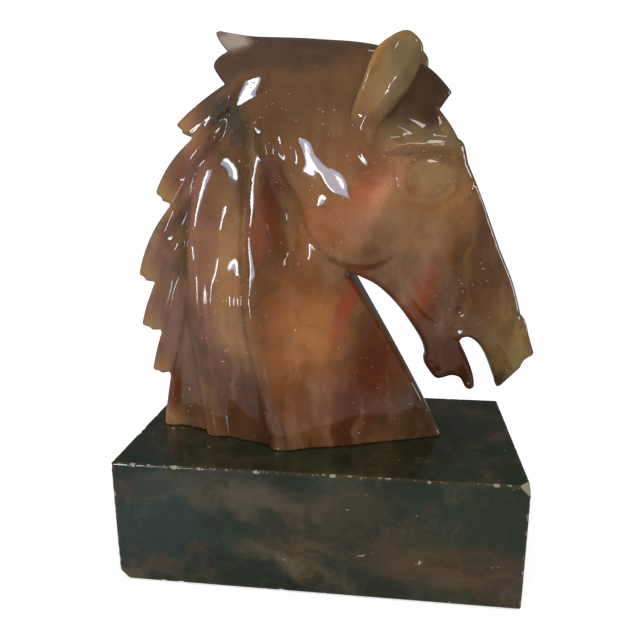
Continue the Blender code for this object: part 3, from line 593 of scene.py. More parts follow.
def mane_runs():
    """Outline of the mane's locks: a bulging upper edge, then a blunt end of two teeth."""
    runs = []
    start = FRONT_RUNS[-1][2][-1]
    for tip, root, bulge in MANE_LOCKS:
        a, b, c = (np.array(q, float) for q in (start, tip, root))
        along = (b - a) / np.linalg.norm(b - a)
        out = np.array((along[1], -along[0]))
        if out @ (b - c) < 0.0:
            out = -out
        middle = 0.5 * (a + b) + bulge * out
        end = (c - b) / np.linalg.norm(c - b)
        down = np.array((-end[1], end[0]))
        if down @ along < 0.0:
            down = -down
        width = np.linalg.norm(c - b)
        first = b + TOOTH_END * width * end
        second = b + STEP_END * width * end + LOCK_TOOTH * down
        runs.append(("lock edge", LOCK_RIM, (a, middle, b)))
        runs.append(("lock tooth", LOCK_RIM, (b, first)))
        runs.append(("lock step", LOCK_RIM, (first, second)))
        runs.append(("lock tooth", LOCK_RIM, (second, c)))
        start = root
    return runs


def outline():
    """Closed outline from the toe round to the heel, with each point's rim radius;
    the straight foot follows it."""
    points = []
    radii = []
    for _, rim, path in list(FRONT_RUNS) + mane_runs() + [HEEL_RUN]:
        curve = flow(path, OUTLINE_STEP)
        points.append(curve[:-1])
        radii.append(np.full(len(curve) - 1, rim))
    points.append(curve[-1:])
    radii.append([rim])
    pts = np.vstack(points)
    rim = np.concatenate(radii)
    for _ in range(RIM_PASSES):
        rim[1:-1] = 0.25 * rim[:-2] + 0.5 * rim[1:-1] + 0.25 * rim[2:]
    return pts, rim


def inside(loop, pts):
    """True for the points within the closed loop (crossings of a ray to +x)."""
    hit = np.zeros(len(pts), bool)
    for a, b in zip(loop, np.roll(loop, -1, axis=0)):
        if a[1] != b[1]:
            spans = np.flatnonzero((a[1] > pts[:, 1]) != (b[1] > pts[:, 1]))
            cut = a[0] + (pts[spans, 1] - a[1]) * (b[0] - a[0]) / (b[1] - a[1])
            hit[spans] ^= pts[spans, 0] < cut
    return hit


def lattice(loop, step):
    """Triangular lattice over the loop's box, only the points inside."""
    low = loop.min(axis=0)
    high = loop.max(axis=0)
    v = np.arange(low[1], high[1], step * math.sqrt(0.75))
    x = np.arange(low[0], high[0], step)
    grid_x = x[None, :] + 0.5 * step * (np.arange(len(v)) % 2)[:, None]
    grid_v = np.broadcast_to(v[:, None], grid_x.shape)
    pts = np.column_stack((grid_x.ravel(), grid_v.ravel()))
    return pts[inside(loop, pts)]


def clear_of(pts, others, gap, cell=0.15):
    """Keeps the points that stay the gap away from the others. Each other point marks
    the cells of a fine raster within the gap of it."""
    if not len(others) or not len(pts):
        return pts
    low = np.minimum(pts.min(axis=0), others.min(axis=0)) - 2.0 * gap
    high = np.maximum(pts.max(axis=0), others.max(axis=0)) + 2.0 * gap
    mark = np.zeros(((high - low) / cell).astype(int) + 2, bool)
    k = np.arange(-int(gap / cell) - 1, int(gap / cell) + 2)
    disc = np.stack(np.meshgrid(k, k), axis=-1).reshape(-1, 2)
    disc = disc[np.hypot(disc[:, 0], disc[:, 1]) * cell <= gap]
    cells = (np.round((others - low) / cell).astype(int)[:, None, :] + disc).reshape(-1, 2)
    mark[cells[:, 0], cells[:, 1]] = True
    at = np.round((pts - low) / cell).astype(int)
    return pts[~mark[at[:, 0], at[:, 1]]]


def thinned(pts, gap):
    """Keeps one point in each cell of the gap's size."""
    cells = np.floor(pts / gap).astype(int)
    _, first = np.unique(cells, axis=0, return_index=True)
    return pts[np.sort(first)]


def rim_rings(rim_line, rim, loop):
    """Points that follow the rim inside it, at the shares of its radius given."""
    ahead = np.roll(rim_line, -1, axis=0) - np.roll(rim_line, 1, axis=0)
    ahead[0] = rim_line[1] - rim_line[0]
    ahead[-1] = rim_line[-1] - rim_line[-2]
    normal = np.column_stack((-ahead[:, 1], ahead[:, 0]))
    normal /= np.linalg.norm(normal, axis=1)[:, None]
    kept = np.empty((0, 2))
    for share in RING_SHARES:
        inset = (share * rim)[:, None]
        ring = rim_line + inset * normal
        gap, _, _, _, _ = nearest(rim_line, ring)
        good = (gap > RING_TRUTH * inset[:, 0]) & (ring[:, 1] > FOOT_CLEARANCE)
        good &= inside(loop, ring)
        ring = thinned(ring[good], 0.5 * OUTLINE_STEP)
        kept = np.vstack((kept, clear_of(ring, kept, 0.3 * OUTLINE_STEP)))
    return kept


def feature_lines(loop, rim_line):
    """Points along the carved edges, at the crest of each and down its steep side, so
    that the faces follow them."""
    rows = [flow(RIDGES["brow"][2], LINE_STEP)]
    for _, steep, _, _, path in EDGES.values():
        line = flow(path, LINE_STEP)
        ahead = np.gradient(line, axis=0)
        right = np.column_stack((ahead[:, 1], -ahead[:, 0]))
        right /= np.linalg.norm(right, axis=1)[:, None]
        for share in STEEP_SHARES:
            rows.append(line + share * steep * right)
    for size, count in EYE_RINGS:
        turn = np.linspace(0.0, 2.0 * math.pi, count, endpoint=False)
        rows.append(np.column_stack((EYE_CENTRE[0] + size * EYE_RADII[0] * np.cos(turn),
                                     EYE_CENTRE[1] + size * EYE_RADII[1] * np.sin(turn))))
    kept = np.empty((0, 2))
    for row in rows:
        row = row[inside(loop, row) & (row[:, 1] > 0.5 * LINE_STEP)]
        gap, _, _, _, _ = nearest(rim_line, row)
        row = row[gap > OUTLINE_CLEARANCE]
        kept = np.vstack((kept, clear_of(row, kept, 0.5 * LINE_STEP)))
    return kept


# Meshes

def neighbours(tris):
    """Both ends of each side of the triangles, each way round: vertex and neighbour."""
    ends = np.vstack((tris[:, (0, 1)], tris[:, (1, 2)], tris[:, (2, 0)]))
    return np.vstack((ends, ends[:, ::-1]))


def smoothed(values, tris, fixed, passes):
    """Each pass moves the values halfway to the mean of their neighbours, apart from
    the fixed ones."""
    ends = neighbours(tris)
    count = np.bincount(ends[:, 0], minlength=len(values))
    for _ in range(passes):
        mean = np.bincount(ends[:, 0], values[ends[:, 1]], len(values)) / np.maximum(count, 1)
        values = np.where(fixed, values, 0.5 * (values + mean))
    return values


def sheet_solid(loop, foot, rim, features, outer, inner, middle, relief):
    """Closed solid between two sheets over the loop, as vertices and triangles. Both
    sheets bend to the middle depth along the rim, on a superellipse: at the share a of
    the rim's radius, the depth is sin(a pi/2)^(2/n) and the inset 1 - cos(a pi/2)^(2/n).
    foot is the number of loop points that form a flat foot instead, at the loop's end."""
    count = len(loop)
    rim_count = count - foot
    rim_line = loop[:rim_count]
    closed = rim_line if foot else np.vstack((rim_line, rim_line[:1]))
    rings = rim_rings(rim_line, rim, loop)
    features = clear_of(features, rings, 0.5 * OUTLINE_STEP)
    grid = lattice(loop, LATTICE_STEP)
    whole = np.vstack((loop, loop[:1]))
    grid = clear_of(grid, flow(whole, SEAM_STEP) if foot else whole, 0.5 * OUTLINE_STEP)
    grid = clear_of(grid, rings, 0.6 * LATTICE_STEP)
    grid = clear_of(grid, features, 0.6 * LATTICE_STEP)
    plan = np.vstack((loop, rings, features, grid))
    edges = [(i, (i + 1) % count) for i in range(count)]
    flat, _, tris, source, _, _ = delaunay_2d_cdt(
        [Vector(q) for q in plan.tolist()], edges, [list(range(count))], 1, 1e-5)
    pts = np.array([tuple(q) for q in flat])
    tris = np.array(tris)
    loop_of = np.full(count, -1)
    for i, made_from in enumerate(source):
        for j in made_from:
            if j < count:
                loop_of[j] = i
    on_rim = np.zeros(len(pts), bool)
    on_rim[loop_of[:rim_count]] = True

    d, _, _, spot, at = nearest(closed, pts)
    radius = np.interp(at, np.arange(len(closed)), np.append(rim, rim[:1])[:len(closed)])
    angle = np.clip(d / radius, 0.0, 1.0) * 0.5 * math.pi
    share = np.sin(angle)**(2.0 / RIM_FULLNESS)
    inset = radius * (1.0 - np.cos(angle)**(2.0 / RIM_FULLNESS))
    moved = np.where(((d < radius) & (d > 1e-9))[:, None],
                     spot + (pts - spot) * (inset / np.maximum(d, 1e-9))[:, None], pts)
    moved[loop_of[rim_count:], 1] = loop[rim_count:, 1]
    mid = middle(moved)
    fixed = on_rim | (d < FIXED_SHARE * radius)
    fixed[loop_of[rim_count:]] = True
    carve = relief(moved)
    near = smoothed(outer(moved), tris, fixed, SHEET_PASSES)
    away = smoothed(inner(moved), tris, fixed, SHEET_PASSES)
    out = mid + (near + carve - mid) * share
    back = mid - (mid - away + carve) * share

    size = len(pts)
    rear = np.where(on_rim, np.arange(size), size + np.cumsum(~on_rim) - 1)
    verts = np.vstack((np.column_stack((moved[:, 0], -out, moved[:, 1])),
                       np.column_stack((moved[:, 0], -back, moved[:, 1]))[~on_rim]))
    faces = [tris, rear[tris[:, ::-1]]]
    if foot:
        line = np.concatenate(([loop_of[rim_count - 1]], loop_of[rim_count:], [loop_of[0]]))
        i = line[:-1]
        j = line[1:]
        faces.append(np.column_stack((i, rear[j], j)))
        faces.append(np.column_stack((i, rear[i], rear[j])))
    faces = np.vstack(faces)
    flat_face = (faces[:, 0] == faces[:, 1]) | (faces[:, 1] == faces[:, 2]) | (
        faces[:, 0] == faces[:, 2])
    return verts, faces[~flat_face]


def mesh_object(name, verts, faces):
    """Object at the origin, with its place in its mesh's vertices and faces."""
    mesh = bpy.data.meshes.new(name)
    mesh.vertices.add(len(verts))
    mesh.vertices.foreach_set("co", np.ascontiguousarray(verts, np.float32).ravel())
    sides = faces.shape[1]
    mesh.loops.add(faces.size)
    mesh.loops.foreach_set("vertex_index", faces.ravel().astype(np.int32))
    mesh.polygons.add(len(faces))
    mesh.polygons.foreach_set("loop_start", np.arange(0, faces.size, sides, dtype=np.int32))
    mesh.update(calc_edges=True)
    mesh.validate()
    obj = bpy.data.objects.new(name, mesh)
    bpy.context.scene.collection.objects.link(obj)
    return obj


def unite(target, other):
    """Joins the other solid to the target for good."""
    union = target.modifiers.new("union", "BOOLEAN")
    union.operation = "UNION"
    union.solver = "MANIFOLD"
    union.object = other
    graph = bpy.context.evaluated_depsgraph_get()
    merged = bpy.data.meshes.new_from_object(target.evaluated_get(graph))
    target.modifiers.remove(union)
    target.data = merged
    bpy.data.objects.remove(other)


def to_place(verts):
    """Moves drawn points (x, depth, v) to their place over the plinth, in metres."""
    return np.column_stack((HEEL_PLACE + (verts[:, 0] - HEEL_X) * UNIT,
                            verts[:, 1] * DEPTH_UNIT,
                            SEAT_HEIGHT + verts[:, 2] * UNIT))


def level(pts):
    """Height 0 at each point."""
    return np.zeros(len(pts))


def ear_mesh(side, lead, carving):
    """Vertices and triangles of the ear on one side of the head: side is +1 for the
    near one. Its outer face is a bent sheet with two rims and its ground flats."""
    loop = closed_flow(EAR_LOOP, 0.8 * OUTLINE_STEP)
    rim = np.full(len(loop), EAR_RIM)
    bent = spline_sheet(EAR_FORM)

    def face(pts):
        return with_flats(bent(pts) + ridge_relief(EAR_LINES, pts) * carving, pts, EAR_FLATS)

    def inner(pts):
        share = np.clip((pts[:, 1] - EAR_FOOT_V) / (EAR_TIP_V - EAR_FOOT_V), 0.0, 1.0)
        return EAR_INNER_FOOT + (EAR_INNER_TIP - EAR_INNER_FOOT) * share

    def middle(pts):
        return 0.5 * (inner(pts) + face(pts))

    crest = flow(EAR_CREST, LINE_STEP)
    verts, faces = sheet_solid(loop, 0, rim, crest, face, inner, middle, level)
    verts = verts * (1.0, side, 1.0) + (lead, 0.0, 0.0)
    if side < 0:
        faces = faces[:, ::-1]
    return verts, faces


def head_mesh(polish, carving, strand_depth):
    """Vertices and triangles of the head and neck without the ears."""
    rim_line, rim = outline()
    steps = int(round((TOE_X - HEEL_X) / OUTLINE_STEP))
    foot_x = np.linspace(HEEL_X, TOE_X, steps + 1)[1:-1]
    loop = np.vstack((rim_line, np.column_stack((foot_x, np.zeros_like(foot_x)))))
    return sheet_solid(loop, len(foot_x), rim, feature_lines(loop, rim_line),
                       lambda p: half_thickness(p, polish),
                       lambda p: -half_thickness(p, polish), level,
                       lambda p: fine_relief(p, carving, strand_depth))


def hollow_depth(verts, faces, passes):
    """How far each vertex lies under the mean of its neighbours, along its normal and
    as a share of the distance to them: above 0 in a groove, below 0 on a crest."""
    ends = neighbours(faces)
    count = np.maximum(np.bincount(ends[:, 0], minlength=len(verts)), 1)
    mean = np.column_stack([np.bincount(ends[:, 0], verts[ends[:, 1], k], len(verts))
                            for k in range(3)]) / count[:, None]
    a, b, c = (verts[faces[:, k]] for k in range(3))
    facing = np.cross(b - a, c - a)
    normal = np.column_stack([sum(np.bincount(faces[:, k], facing[:, m], len(verts))
                                  for k in range(3)) for m in range(3)])
    normal /= np.maximum(np.linalg.norm(normal, axis=1), 1e-12)[:, None]
    reach = np.bincount(ends[:, 0], np.linalg.norm(verts[ends[:, 1]] - verts[ends[:, 0]],
                                                   axis=1), len(verts)) / count
    under = np.einsum("ij,ij->i", mean - verts, normal) / np.maximum(reach, 1e-9)
    return smoothed(under, faces, np.zeros(len(verts), bool), passes)


def tip_glow_mask(pts):
    """Mask of the painted glow: 1 at the tips of the mane's locks, where the stone is thin,
    falling to 0 over the last third of each lock."""
    glow = np.zeros(len(pts))
    for _, root, tip, _, path in SWELLS:
        d, _, share, _, _ = nearest(flow(path, SWELL_STEP), pts)
        width = root + (tip - root) * share
        glow = np.maximum(glow, ease((share - TIP_START) / TIP_LENGTH)
                          * ease(TIP_REACH - d / width))
    return glow


def ear_share(pts, depth, polish):
    """1 on the ears, which stand out of the form near their outline, and 0 elsewhere."""
    near = np.all((pts > EAR_AREA[0]) & (pts < EAR_AREA[1]), axis=1)
    over = depth - half_thickness(pts, polish)
    return ease((over + EAR_UNDER) / EAR_SPAN) * near


def set_values(mesh, name, values):
    """Puts one value for each vertex on the mesh, for its material to read."""
    mesh.attributes.new(name, "FLOAT", "POINT").data.foreach_set(
        "value", np.asarray(values, np.float32))


def mesh_arrays(mesh):
    """The mesh's vertices, and its faces as triangles."""
    verts = np.empty(len(mesh.vertices) * 3)
    mesh.vertices.foreach_get("co", verts)
    mesh.calc_loop_triangles()
    faces = np.empty(len(mesh.loop_triangles) * 3, np.int32)
    mesh.loop_triangles.foreach_get("vertices", faces)
    return verts.reshape(-1, 3), faces.reshape(-1, 3)


def grid_quads(rows, columns):
    """Quads of a grid of vertices that are numbered along its columns, row by row."""
    index = np.arange(rows * columns).reshape(rows, columns)
    return np.column_stack((index[:-1, :-1].ravel(), index[1:, :-1].ravel(),
                            index[1:, 1:].ravel(), index[:-1, 1:].ravel()))


def plinth_mesh(low, high, step, arris, corner_chip, chips):
    """Vertices, quads and chip depths of the plinth. A grid on each side of a box is
    rounded by its arris: a point goes to the inner box, arris smaller all round, plus
    the arris along the way back to it. A chip is a ball (place, radius): a point inside
    it goes out to the ball's surface, into the stone. A knocked-off corner is a plane
    that points go back to."""
    near_end = arris * np.array(ARRIS_LINES)
    lines = []
    for k in range(3):
        span = high[k] - low[k]
        count = int(round((span - 2 * near_end[-1]) / step))
        middle = np.linspace(near_end[-1], span - near_end[-1], count + 1)
        lines.append(low[k] + np.concatenate((near_end[:-1], middle,
                                              span - near_end[-2::-1])))
    verts = []
    quads = []
    total = 0
    for k in range(3):
        i, j = (k + 1) % 3, (k + 2) % 3
        a, b = np.meshgrid(lines[i], lines[j], indexing="ij")
        quad = grid_quads(*a.shape)
        for level in (low[k], high[k]):
            p = np.empty((a.size, 3))
            p[:, i] = a.ravel()
            p[:, j] = b.ravel()
            p[:, k] = level
            verts.append(p)
            quads.append((quad if level == high[k] else quad[:, ::-1]) + total)
            total += a.size
    verts = np.vstack(verts)
    keys = np.round(verts * 1e7).astype(np.int64)
    _, first, back = np.unique(keys, axis=0, return_index=True, return_inverse=True)
    verts = verts[first]
    quads = back.ravel()[np.vstack(quads)]
    centre = np.clip(verts, low + arris, high - arris)
    off = verts - centre
    verts = centre + arris * off / np.linalg.norm(off, axis=1)[:, None]
    before = verts.copy()
    for corner in (low, np.array((high[0], low[1], high[2]))):
        out = np.sign(corner - 0.5 * (low + high)) / math.sqrt(3.0)
        over = (verts - corner) @ out + corner_chip / math.sqrt(3.0) + 0.5 * arris
        verts = verts - np.maximum(over, 0.0)[:, None] * out
    for place, radius in chips:
        off = verts - place
        far = np.linalg.norm(off, axis=1)
        pick = far < radius
        verts[pick] = place + off[pick] * (radius / far[pick])[:, None]
    return verts, quads, np.linalg.norm(verts - before, axis=1)


def edge_chips(low, high, arris, depth):
    """Chips along the plinth's edges, as balls (place, radius): each one's centre is off
    the arris, so that the ball goes into the stone by its own depth. The front's top
    edge and its left edge have the most."""
    rng = np.random.default_rng(CHIP_SEED)
    chips = []
    for (axis, first, second), count in CHIP_COUNTS.items():
        others = [k for k in range(3) if k != axis]
        out = np.zeros(3)
        place = np.zeros(3)
        for k, top in zip(others, (first, second)):
            out[k] = 1.0 if top else -1.0
            place[k] = high[k] - arris if top else low[k] + arris
        out /= math.sqrt(2.0)
        aside = np.roll(out, 1)
        aside = aside * (np.abs(aside) > 0) * (np.arange(3) != axis)
        for along, size, lean in zip(rng.random(count), rng.random(count),
                                     rng.normal(0.0, CHIP_LEAN, count)):
            spot = place.copy()
            spot[axis] = low[axis] + (CHIP_START + CHIP_RANGE * along) * (high[axis] - low[axis])
            turned = out + lean * aside
            turned /= np.linalg.norm(turned)
            deep = depth * (CHIP_LEAST_DEPTH + size**2)
            radius = CHIP_RADIUS + CHIP_SPREAD * size
            chips.append((spot + turned * (arris - deep + radius), radius))
    return chips


# Node groups

def paint(red, green, blue):
    """Linear colour from one read off the stone, 0 to 255 a channel."""
    return tuple(c / 12.92 if c <= 0.04045 else ((c + 0.055) / 1.055)**2.4
                 for c in (red / 255.0, green / 255.0, blue / 255.0))


def add(tree, kind, inputs=None, **settings):
    """New node with its settings; an input is a value, or the output that feeds it."""
    node = tree.nodes.new(kind)
    inputs = dict(inputs or {})
    if "node_tree" in inputs:
        node.node_tree = inputs.pop("node_tree")
    for name, value in settings.items():
        setattr(node, name, value)
    for name, value in inputs.items():
        socket = node.inputs[name]
        if isinstance(value, bpy.types.NodeSocket):
            tree.links.new(value, socket)
        elif socket.type == "RGBA" and len(value) == 3:
            socket.default_value = (*value, 1.0)
        else:
            socket.default_value = value
    return node


def math_node(tree, operation, *values, clamp=False):
    """Value of a Math node."""
    return add(tree, "ShaderNodeMath", dict(enumerate(values)), operation=operation,
               use_clamp=clamp).outputs[0]


def vector_node(tree, operation, *values):
    """Vector of a Vector Math node, or its value where that is a length."""
    node = add(tree, "ShaderNodeVectorMath", dict(enumerate(values)), operation=operation)
    return node.outputs["Value" if operation == "LENGTH" else "Vector"]


def mixed(tree, factor, under, over):
    """Colour between two, from the first at the factor 0 to the second at 1."""
    node = tree.nodes.new("ShaderNodeMix")
    node.data_type = "RGBA"
    for socket, value in ((node.inputs[0], factor), (node.inputs[6], under),
                          (node.inputs[7], over)):
        if isinstance(value, bpy.types.NodeSocket):
            tree.links.new(value, socket)
        elif socket.type == "RGBA":
            socket.default_value = (*value[:3], 1.0)
        else:
            socket.default_value = value
    return node.outputs[2]


def laid_over(tree, colour, tint, mask, strength):
    """The tint over a colour, by the mask times a strength."""
    return mixed(tree, math_node(tree, "MULTIPLY", mask, strength), colour, tint)


def painted(tree, name):
    """Value that the mesh carries under the name."""
    return add(tree, "ShaderNodeAttribute", attribute_name=name).outputs["Fac"]


def blank_material(name):
    """New material with an empty tree, and that tree."""
    material = bpy.data.materials.new(name)
    material.use_nodes = True
    material.node_tree.nodes.clear()
    return material, material.node_tree


def surface(tree, inputs):
    """Ends a material's tree with a Principled shader of the inputs."""
    shader = add(tree, "ShaderNodeBsdfPrincipled", inputs)
    add(tree, "ShaderNodeOutputMaterial", {"Surface": shader.outputs["BSDF"]})
    laid_out(tree)


def ranged(tree, value, low, high, to_low=0.0, to_high=1.0, soft=True):
    """Maps the value's range to another one, smoothly or in a straight line."""
    return add(tree, "ShaderNodeMapRange",
               {"Value": value, "From Min": low, "From Max": high, "To Min": to_low,
                "To Max": to_high},
               interpolation_type="SMOOTHSTEP" if soft else "LINEAR").outputs["Result"]


def laid_out(tree):
    """Places the nodes in columns, each to the right of what feeds it."""
    depth = {node: 0 for node in tree.nodes}
    for _ in range(len(tree.nodes)):
        changed = False
        for link in tree.links:
            if depth[link.to_node] <= depth[link.from_node]:
                depth[link.to_node] = depth[link.from_node] + 1
                changed = True
        if not changed:
            break
    rows = {}
    for node, column in depth.items():
        row = rows.get(column, 0)
        node.location = (220.0 * column, -190.0 * row)
        rows[column] = row + 1


def group(name, inputs, outputs, fill):
    """Node group of the name with its inputs (name, socket type, default) and outputs
    (name, socket type); fill puts the nodes in and links them. It is built once."""
    if name in bpy.data.node_groups:
        return bpy.data.node_groups[name]
    tree = bpy.data.node_groups.new(name, "ShaderNodeTree")
    for label, kind, default in inputs:
        socket = tree.interface.new_socket(label, in_out="INPUT", socket_type=kind)
        if default is not None:
            socket.default_value = default
    for label, kind in outputs:
        tree.interface.new_socket(label, in_out="OUTPUT", socket_type=kind)
    source = tree.nodes.new("NodeGroupInput")
    result = tree.nodes.new("NodeGroupOutput")
    for label, socket in fill(tree, source.outputs).items():
        tree.links.new(socket, result.inputs[label])
    laid_out(tree)
    return tree


NUMBER = "NodeSocketFloat"
VECTOR = "NodeSocketVector"
COLOUR = "NodeSocketColor"


def drifted_position():
    """Position pushed about by a noise, so that what is placed by it gets torn edges."""
    def fill(tree, get):
        noise = add(tree, "ShaderNodeTexNoise", {"Vector": get["Vector"],
                                                 "Scale": get["Scale"], "Detail": 4.0,
                                                 "Roughness": 0.55})
        off = vector_node(tree, "SUBTRACT", noise.outputs["Color"], (0.5, 0.5, 0.5))
        push = add(tree, "ShaderNodeVectorMath", {0: off, "Scale": get["Drift"]},
                   operation="SCALE").outputs["Vector"]
        return {"Vector": vector_node(tree, "ADD", get["Vector"], push)}
    return group("Drifted position",
                 (("Vector", VECTOR, None), ("Scale", NUMBER, 20.0),
                  ("Drift", NUMBER, 0.01)),
                 (("Vector", VECTOR),), fill)


def tinted_cloud():
    """Cloud of one tint in the stone: an ellipsoid with a soft edge, turned about Y."""
    def fill(tree, get):
        off = vector_node(tree, "SUBTRACT", get["Vector"], get["Centre"])
        turned = add(tree, "ShaderNodeVectorRotate", {"Vector": off, "Angle": get["Turn"]},
                     rotation_type="Y_AXIS").outputs["Vector"]
        far = vector_node(tree, "LENGTH", vector_node(tree, "DIVIDE", turned, get["Size"]))
        inner = math_node(tree, "SUBTRACT", 1.0, get["Softness"])
        outer = math_node(tree, "ADD", 1.0, get["Softness"])
        mask = math_node(tree, "MULTIPLY", ranged(tree, far, outer, inner),
                         get["Strength"], clamp=True)
        return {"Color": mixed(tree, mask, get["Color"], get["Tint"]), "Mask": mask}
    return group("Tinted cloud",
                 (("Color", COLOUR, None), ("Tint", COLOUR, None), ("Vector", VECTOR, None),
                  ("Centre", VECTOR, None), ("Size", VECTOR, (0.01, 0.01, 0.01)),
                  ("Turn", NUMBER, 0.0), ("Softness", NUMBER, 0.5),
                  ("Strength", NUMBER, 1.0)),
                 (("Color", COLOUR), ("Mask", NUMBER)), fill)


def mineral_specks():
    """Small bright grains: the cores of some of the cells of a Voronoi texture."""
    def fill(tree, get):
        cells = add(tree, "ShaderNodeTexVoronoi", {"Vector": get["Vector"],
                                                   "Scale": get["Scale"]})
        pick = add(tree, "ShaderNodeSeparateColor", {"Color": cells.outputs["Color"]})
        chosen = math_node(tree, "LESS_THAN", pick.outputs["Red"], get["Amount"])
        size = math_node(tree, "MULTIPLY", get["Size"],
                         ranged(tree, pick.outputs["Green"], 0.0, 1.0, 0.35, 1.0, False))
        edge = math_node(tree, "MULTIPLY", size, 0.55)
        core = ranged(tree, cells.outputs["Distance"], size, edge)
        return {"Mask": math_node(tree, "MULTIPLY", core, chosen)}
    return group("Mineral specks",
                 (("Vector", VECTOR, None), ("Scale", NUMBER, 300.0),
                  ("Size", NUMBER, 0.25), ("Amount", NUMBER, 0.1)),
                 (("Mask", NUMBER),), fill)


def stone_grain():
    """Mottling of the stone: a noise with its two levels, as a mask from 0 to 1."""
    def fill(tree, get):
        noise = add(tree, "ShaderNodeTexNoise", {"Vector": get["Vector"],
                                                 "Scale": get["Scale"], "Detail": 6.0,
                                                 "Roughness": get["Roughness"]})
        return {"Mask": ranged(tree, noise.outputs["Fac"], get["From"], get["To"])}
    return group("Stone grain",
                 (("Vector", VECTOR, None), ("Scale", NUMBER, 30.0),
                  ("Roughness", NUMBER, 0.55), ("From", NUMBER, 0.35),
                  ("To", NUMBER, 0.65)),
                 (("Mask", NUMBER),), fill)


def use(tree, made, **inputs):
    """Places a group's node with its inputs."""
    return add(tree, "ShaderNodeGroup", {"node_tree": made, **inputs})


def mask_of(tree, made, **inputs):
    """Places a group's node and gives its mask."""
    return use(tree, made, **inputs).outputs["Mask"]


def place_of(x, v):
    """Point of the drawing as a place over the plinth, in metres."""
    return tuple(to_place(np.array([(x, 0.0, v)], float))[0])


# Clouds of colour in the onyx: centre x and v, half-sizes, turn in degrees, colour,
# softness and strength. Three of them are painted light: shade under the slab and before
# the ear, and a reflection on the slab's tip
ONYX_CLOUDS = {
    "upper neck": ((-15, 168), (42, 24), 0, (112, 78, 50), 0.6, 0.9),
    "slab": ((0, 199), (90, 9), 0, (76, 50, 36), 0.3, 0.9),
    # Painted reflection: a pale grey patch on the slab's tip, where the polish would show the
    # room
    "painted reflection on the slab's tip": ((-43, 198), (10, 5), -12, (176, 156, 148), 0.5, 0.9),
    # Painted shade: a darker band under the crest slab, where its overhang keeps the light off
    "painted shade under the slab": ((-20, 188), (36, 7), 0, (84, 62, 48), 0.4, 0.9),
    "round lock": ((-50, 186), (12, 9), 0, (96, 66, 46), 0.4, 0.9),
    # Painted shade: the recess before the ear is darkened, as the ear's shadow and the recess
    # would darken it
    "forelock": ((45, 172), (16, 11), 30, (54, 30, 6), 0.5, 0.95),
    "brow": ((50, 153), (22, 8), 0, (128, 106, 70), 0.6, 0.85),
    "lock roots": ((-46, 163), (20, 7), -38, (78, 66, 52), 0.6, 0.95),
    "upper locks": ((-72, 142), (22, 16), -50, (130, 82, 64), 0.5, 0.8),
    "middle locks": ((-84, 80), (15, 55), 12, (136, 98, 82), 0.5, 0.9),
    "heel": ((-86, 14), (7, 18), 0, (112, 50, 24), 0.5, 0.9),
    "neck's olive band": ((-44, 70), (10, 62), 4, (176, 124, 84), 0.6, 0.8),
    "neck's warm band": ((-58, 95), (7, 60), 4, (158, 108, 88), 0.6, 0.8),
    "hollow": ((-27, 118), (8, 24), -12, (134, 70, 48), 0.6, 0.85),
    "under the jowl": ((-10, 98), (10, 22), -30, (116, 72, 30), 0.6, 0.8),
    "neck's middle": ((-8, 60), (22, 34), 0, (154, 92, 48), 0.6, 0.9),
    "neck's pale cloud": ((-6, 62), (14, 12), 20, (178, 116, 66), 0.7, 0.8),
    "neck's pale streak": ((4, 26), (7, 28), -8, (146, 92, 62), 0.6, 0.85),
    "neck's orange": ((-12, 22), (11, 18), 10, (122, 64, 30), 0.6, 0.85),
    "neck's red front": ((28, 42), (14, 46), -32, (98, 38, 10), 0.7, 0.9),
    "toe": ((52, 10), (12, 16), -20, (70, 46, 24), 0.5, 0.85),
    "main lock's foot": ((-40, 18), (16, 24), 10, (62, 30, 10), 0.6, 0.8),
    "cheek": ((8, 122), (24, 30), 0, (156, 104, 66), 0.5, 0.9),
    "cheek's rose": ((27, 128), (8, 20), -28, (224, 156, 114), 0.9, 0.75),
    "cheek's red": ((20, 131), (4, 13), -30, (190, 92, 62), 0.9, 0.7),
    "neck's red streak": ((13, 74), (4, 18), -25, (160, 66, 44), 0.9, 0.75),
    "jowl's rose": ((4, 112), (16, 10), 35, (178, 110, 68), 0.7, 0.75),
    "temple": ((20, 148), (10, 14), 0, (128, 82, 50), 0.6, 0.8),
    "face": ((52, 118), (20, 26), 0, (164, 114, 68), 0.5, 0.9),
    "eye": ((50.3, 134.6), (10, 9), 0, (162, 126, 88), 0.3, 0.8),
    "facial crest": ((48, 86), (6, 26), -26, (158, 112, 84), 0.6, 0.7),
    "jaw's red": ((52, 80), (4, 20), -26, (148, 70, 24), 0.9, 0.7),
    "nose": ((76, 92), (13, 28), -20, (92, 60, 34), 0.5, 0.9),
    "chin": ((64, 42), (14, 16), 0, (78, 32, 6), 0.5, 0.85),
    "muzzle": ((92, 58), (13, 18), -10, (124, 96, 56), 0.5, 0.9),
    "lip": ((100, 48), (7, 10), 0, (146, 118, 64), 0.5, 0.85),
}

# Clouds of the ears, which are laid on the ears alone
EAR_CLOUDS = {
    "ear": ((29, 176), (22, 26), -30, (160, 124, 80), 0.3, 0.95),
    "ear's root": ((20, 158), (9, 12), 0, (130, 88, 60), 0.6, 0.8),
    "ear's gold": ((26, 186), (6, 9), -20, (168, 124, 66), 0.7, 0.7),
    "ear's front": ((40, 182), (5, 16), -28, (128, 112, 76), 0.5, 0.8),
}

# Half-depth of each cloud, in metres: it reaches through the whole stone
CLOUD_DEPTH = 0.2

# Pale streaks in the onyx: how far they are drawn out upwards, and the heights where they
# end and are at their strongest
STREAK_STRETCH = (1.0, 0.7, 0.22)
STREAK_TOP = 178
STREAK_FULL = 150
STREAK_STRENGTH = 0.35

# How much duller the polish is in the hollows, and how deep the grains' pits are
HOLLOW_DULLNESS = 0.3
GRAIN_PITS = 0.8


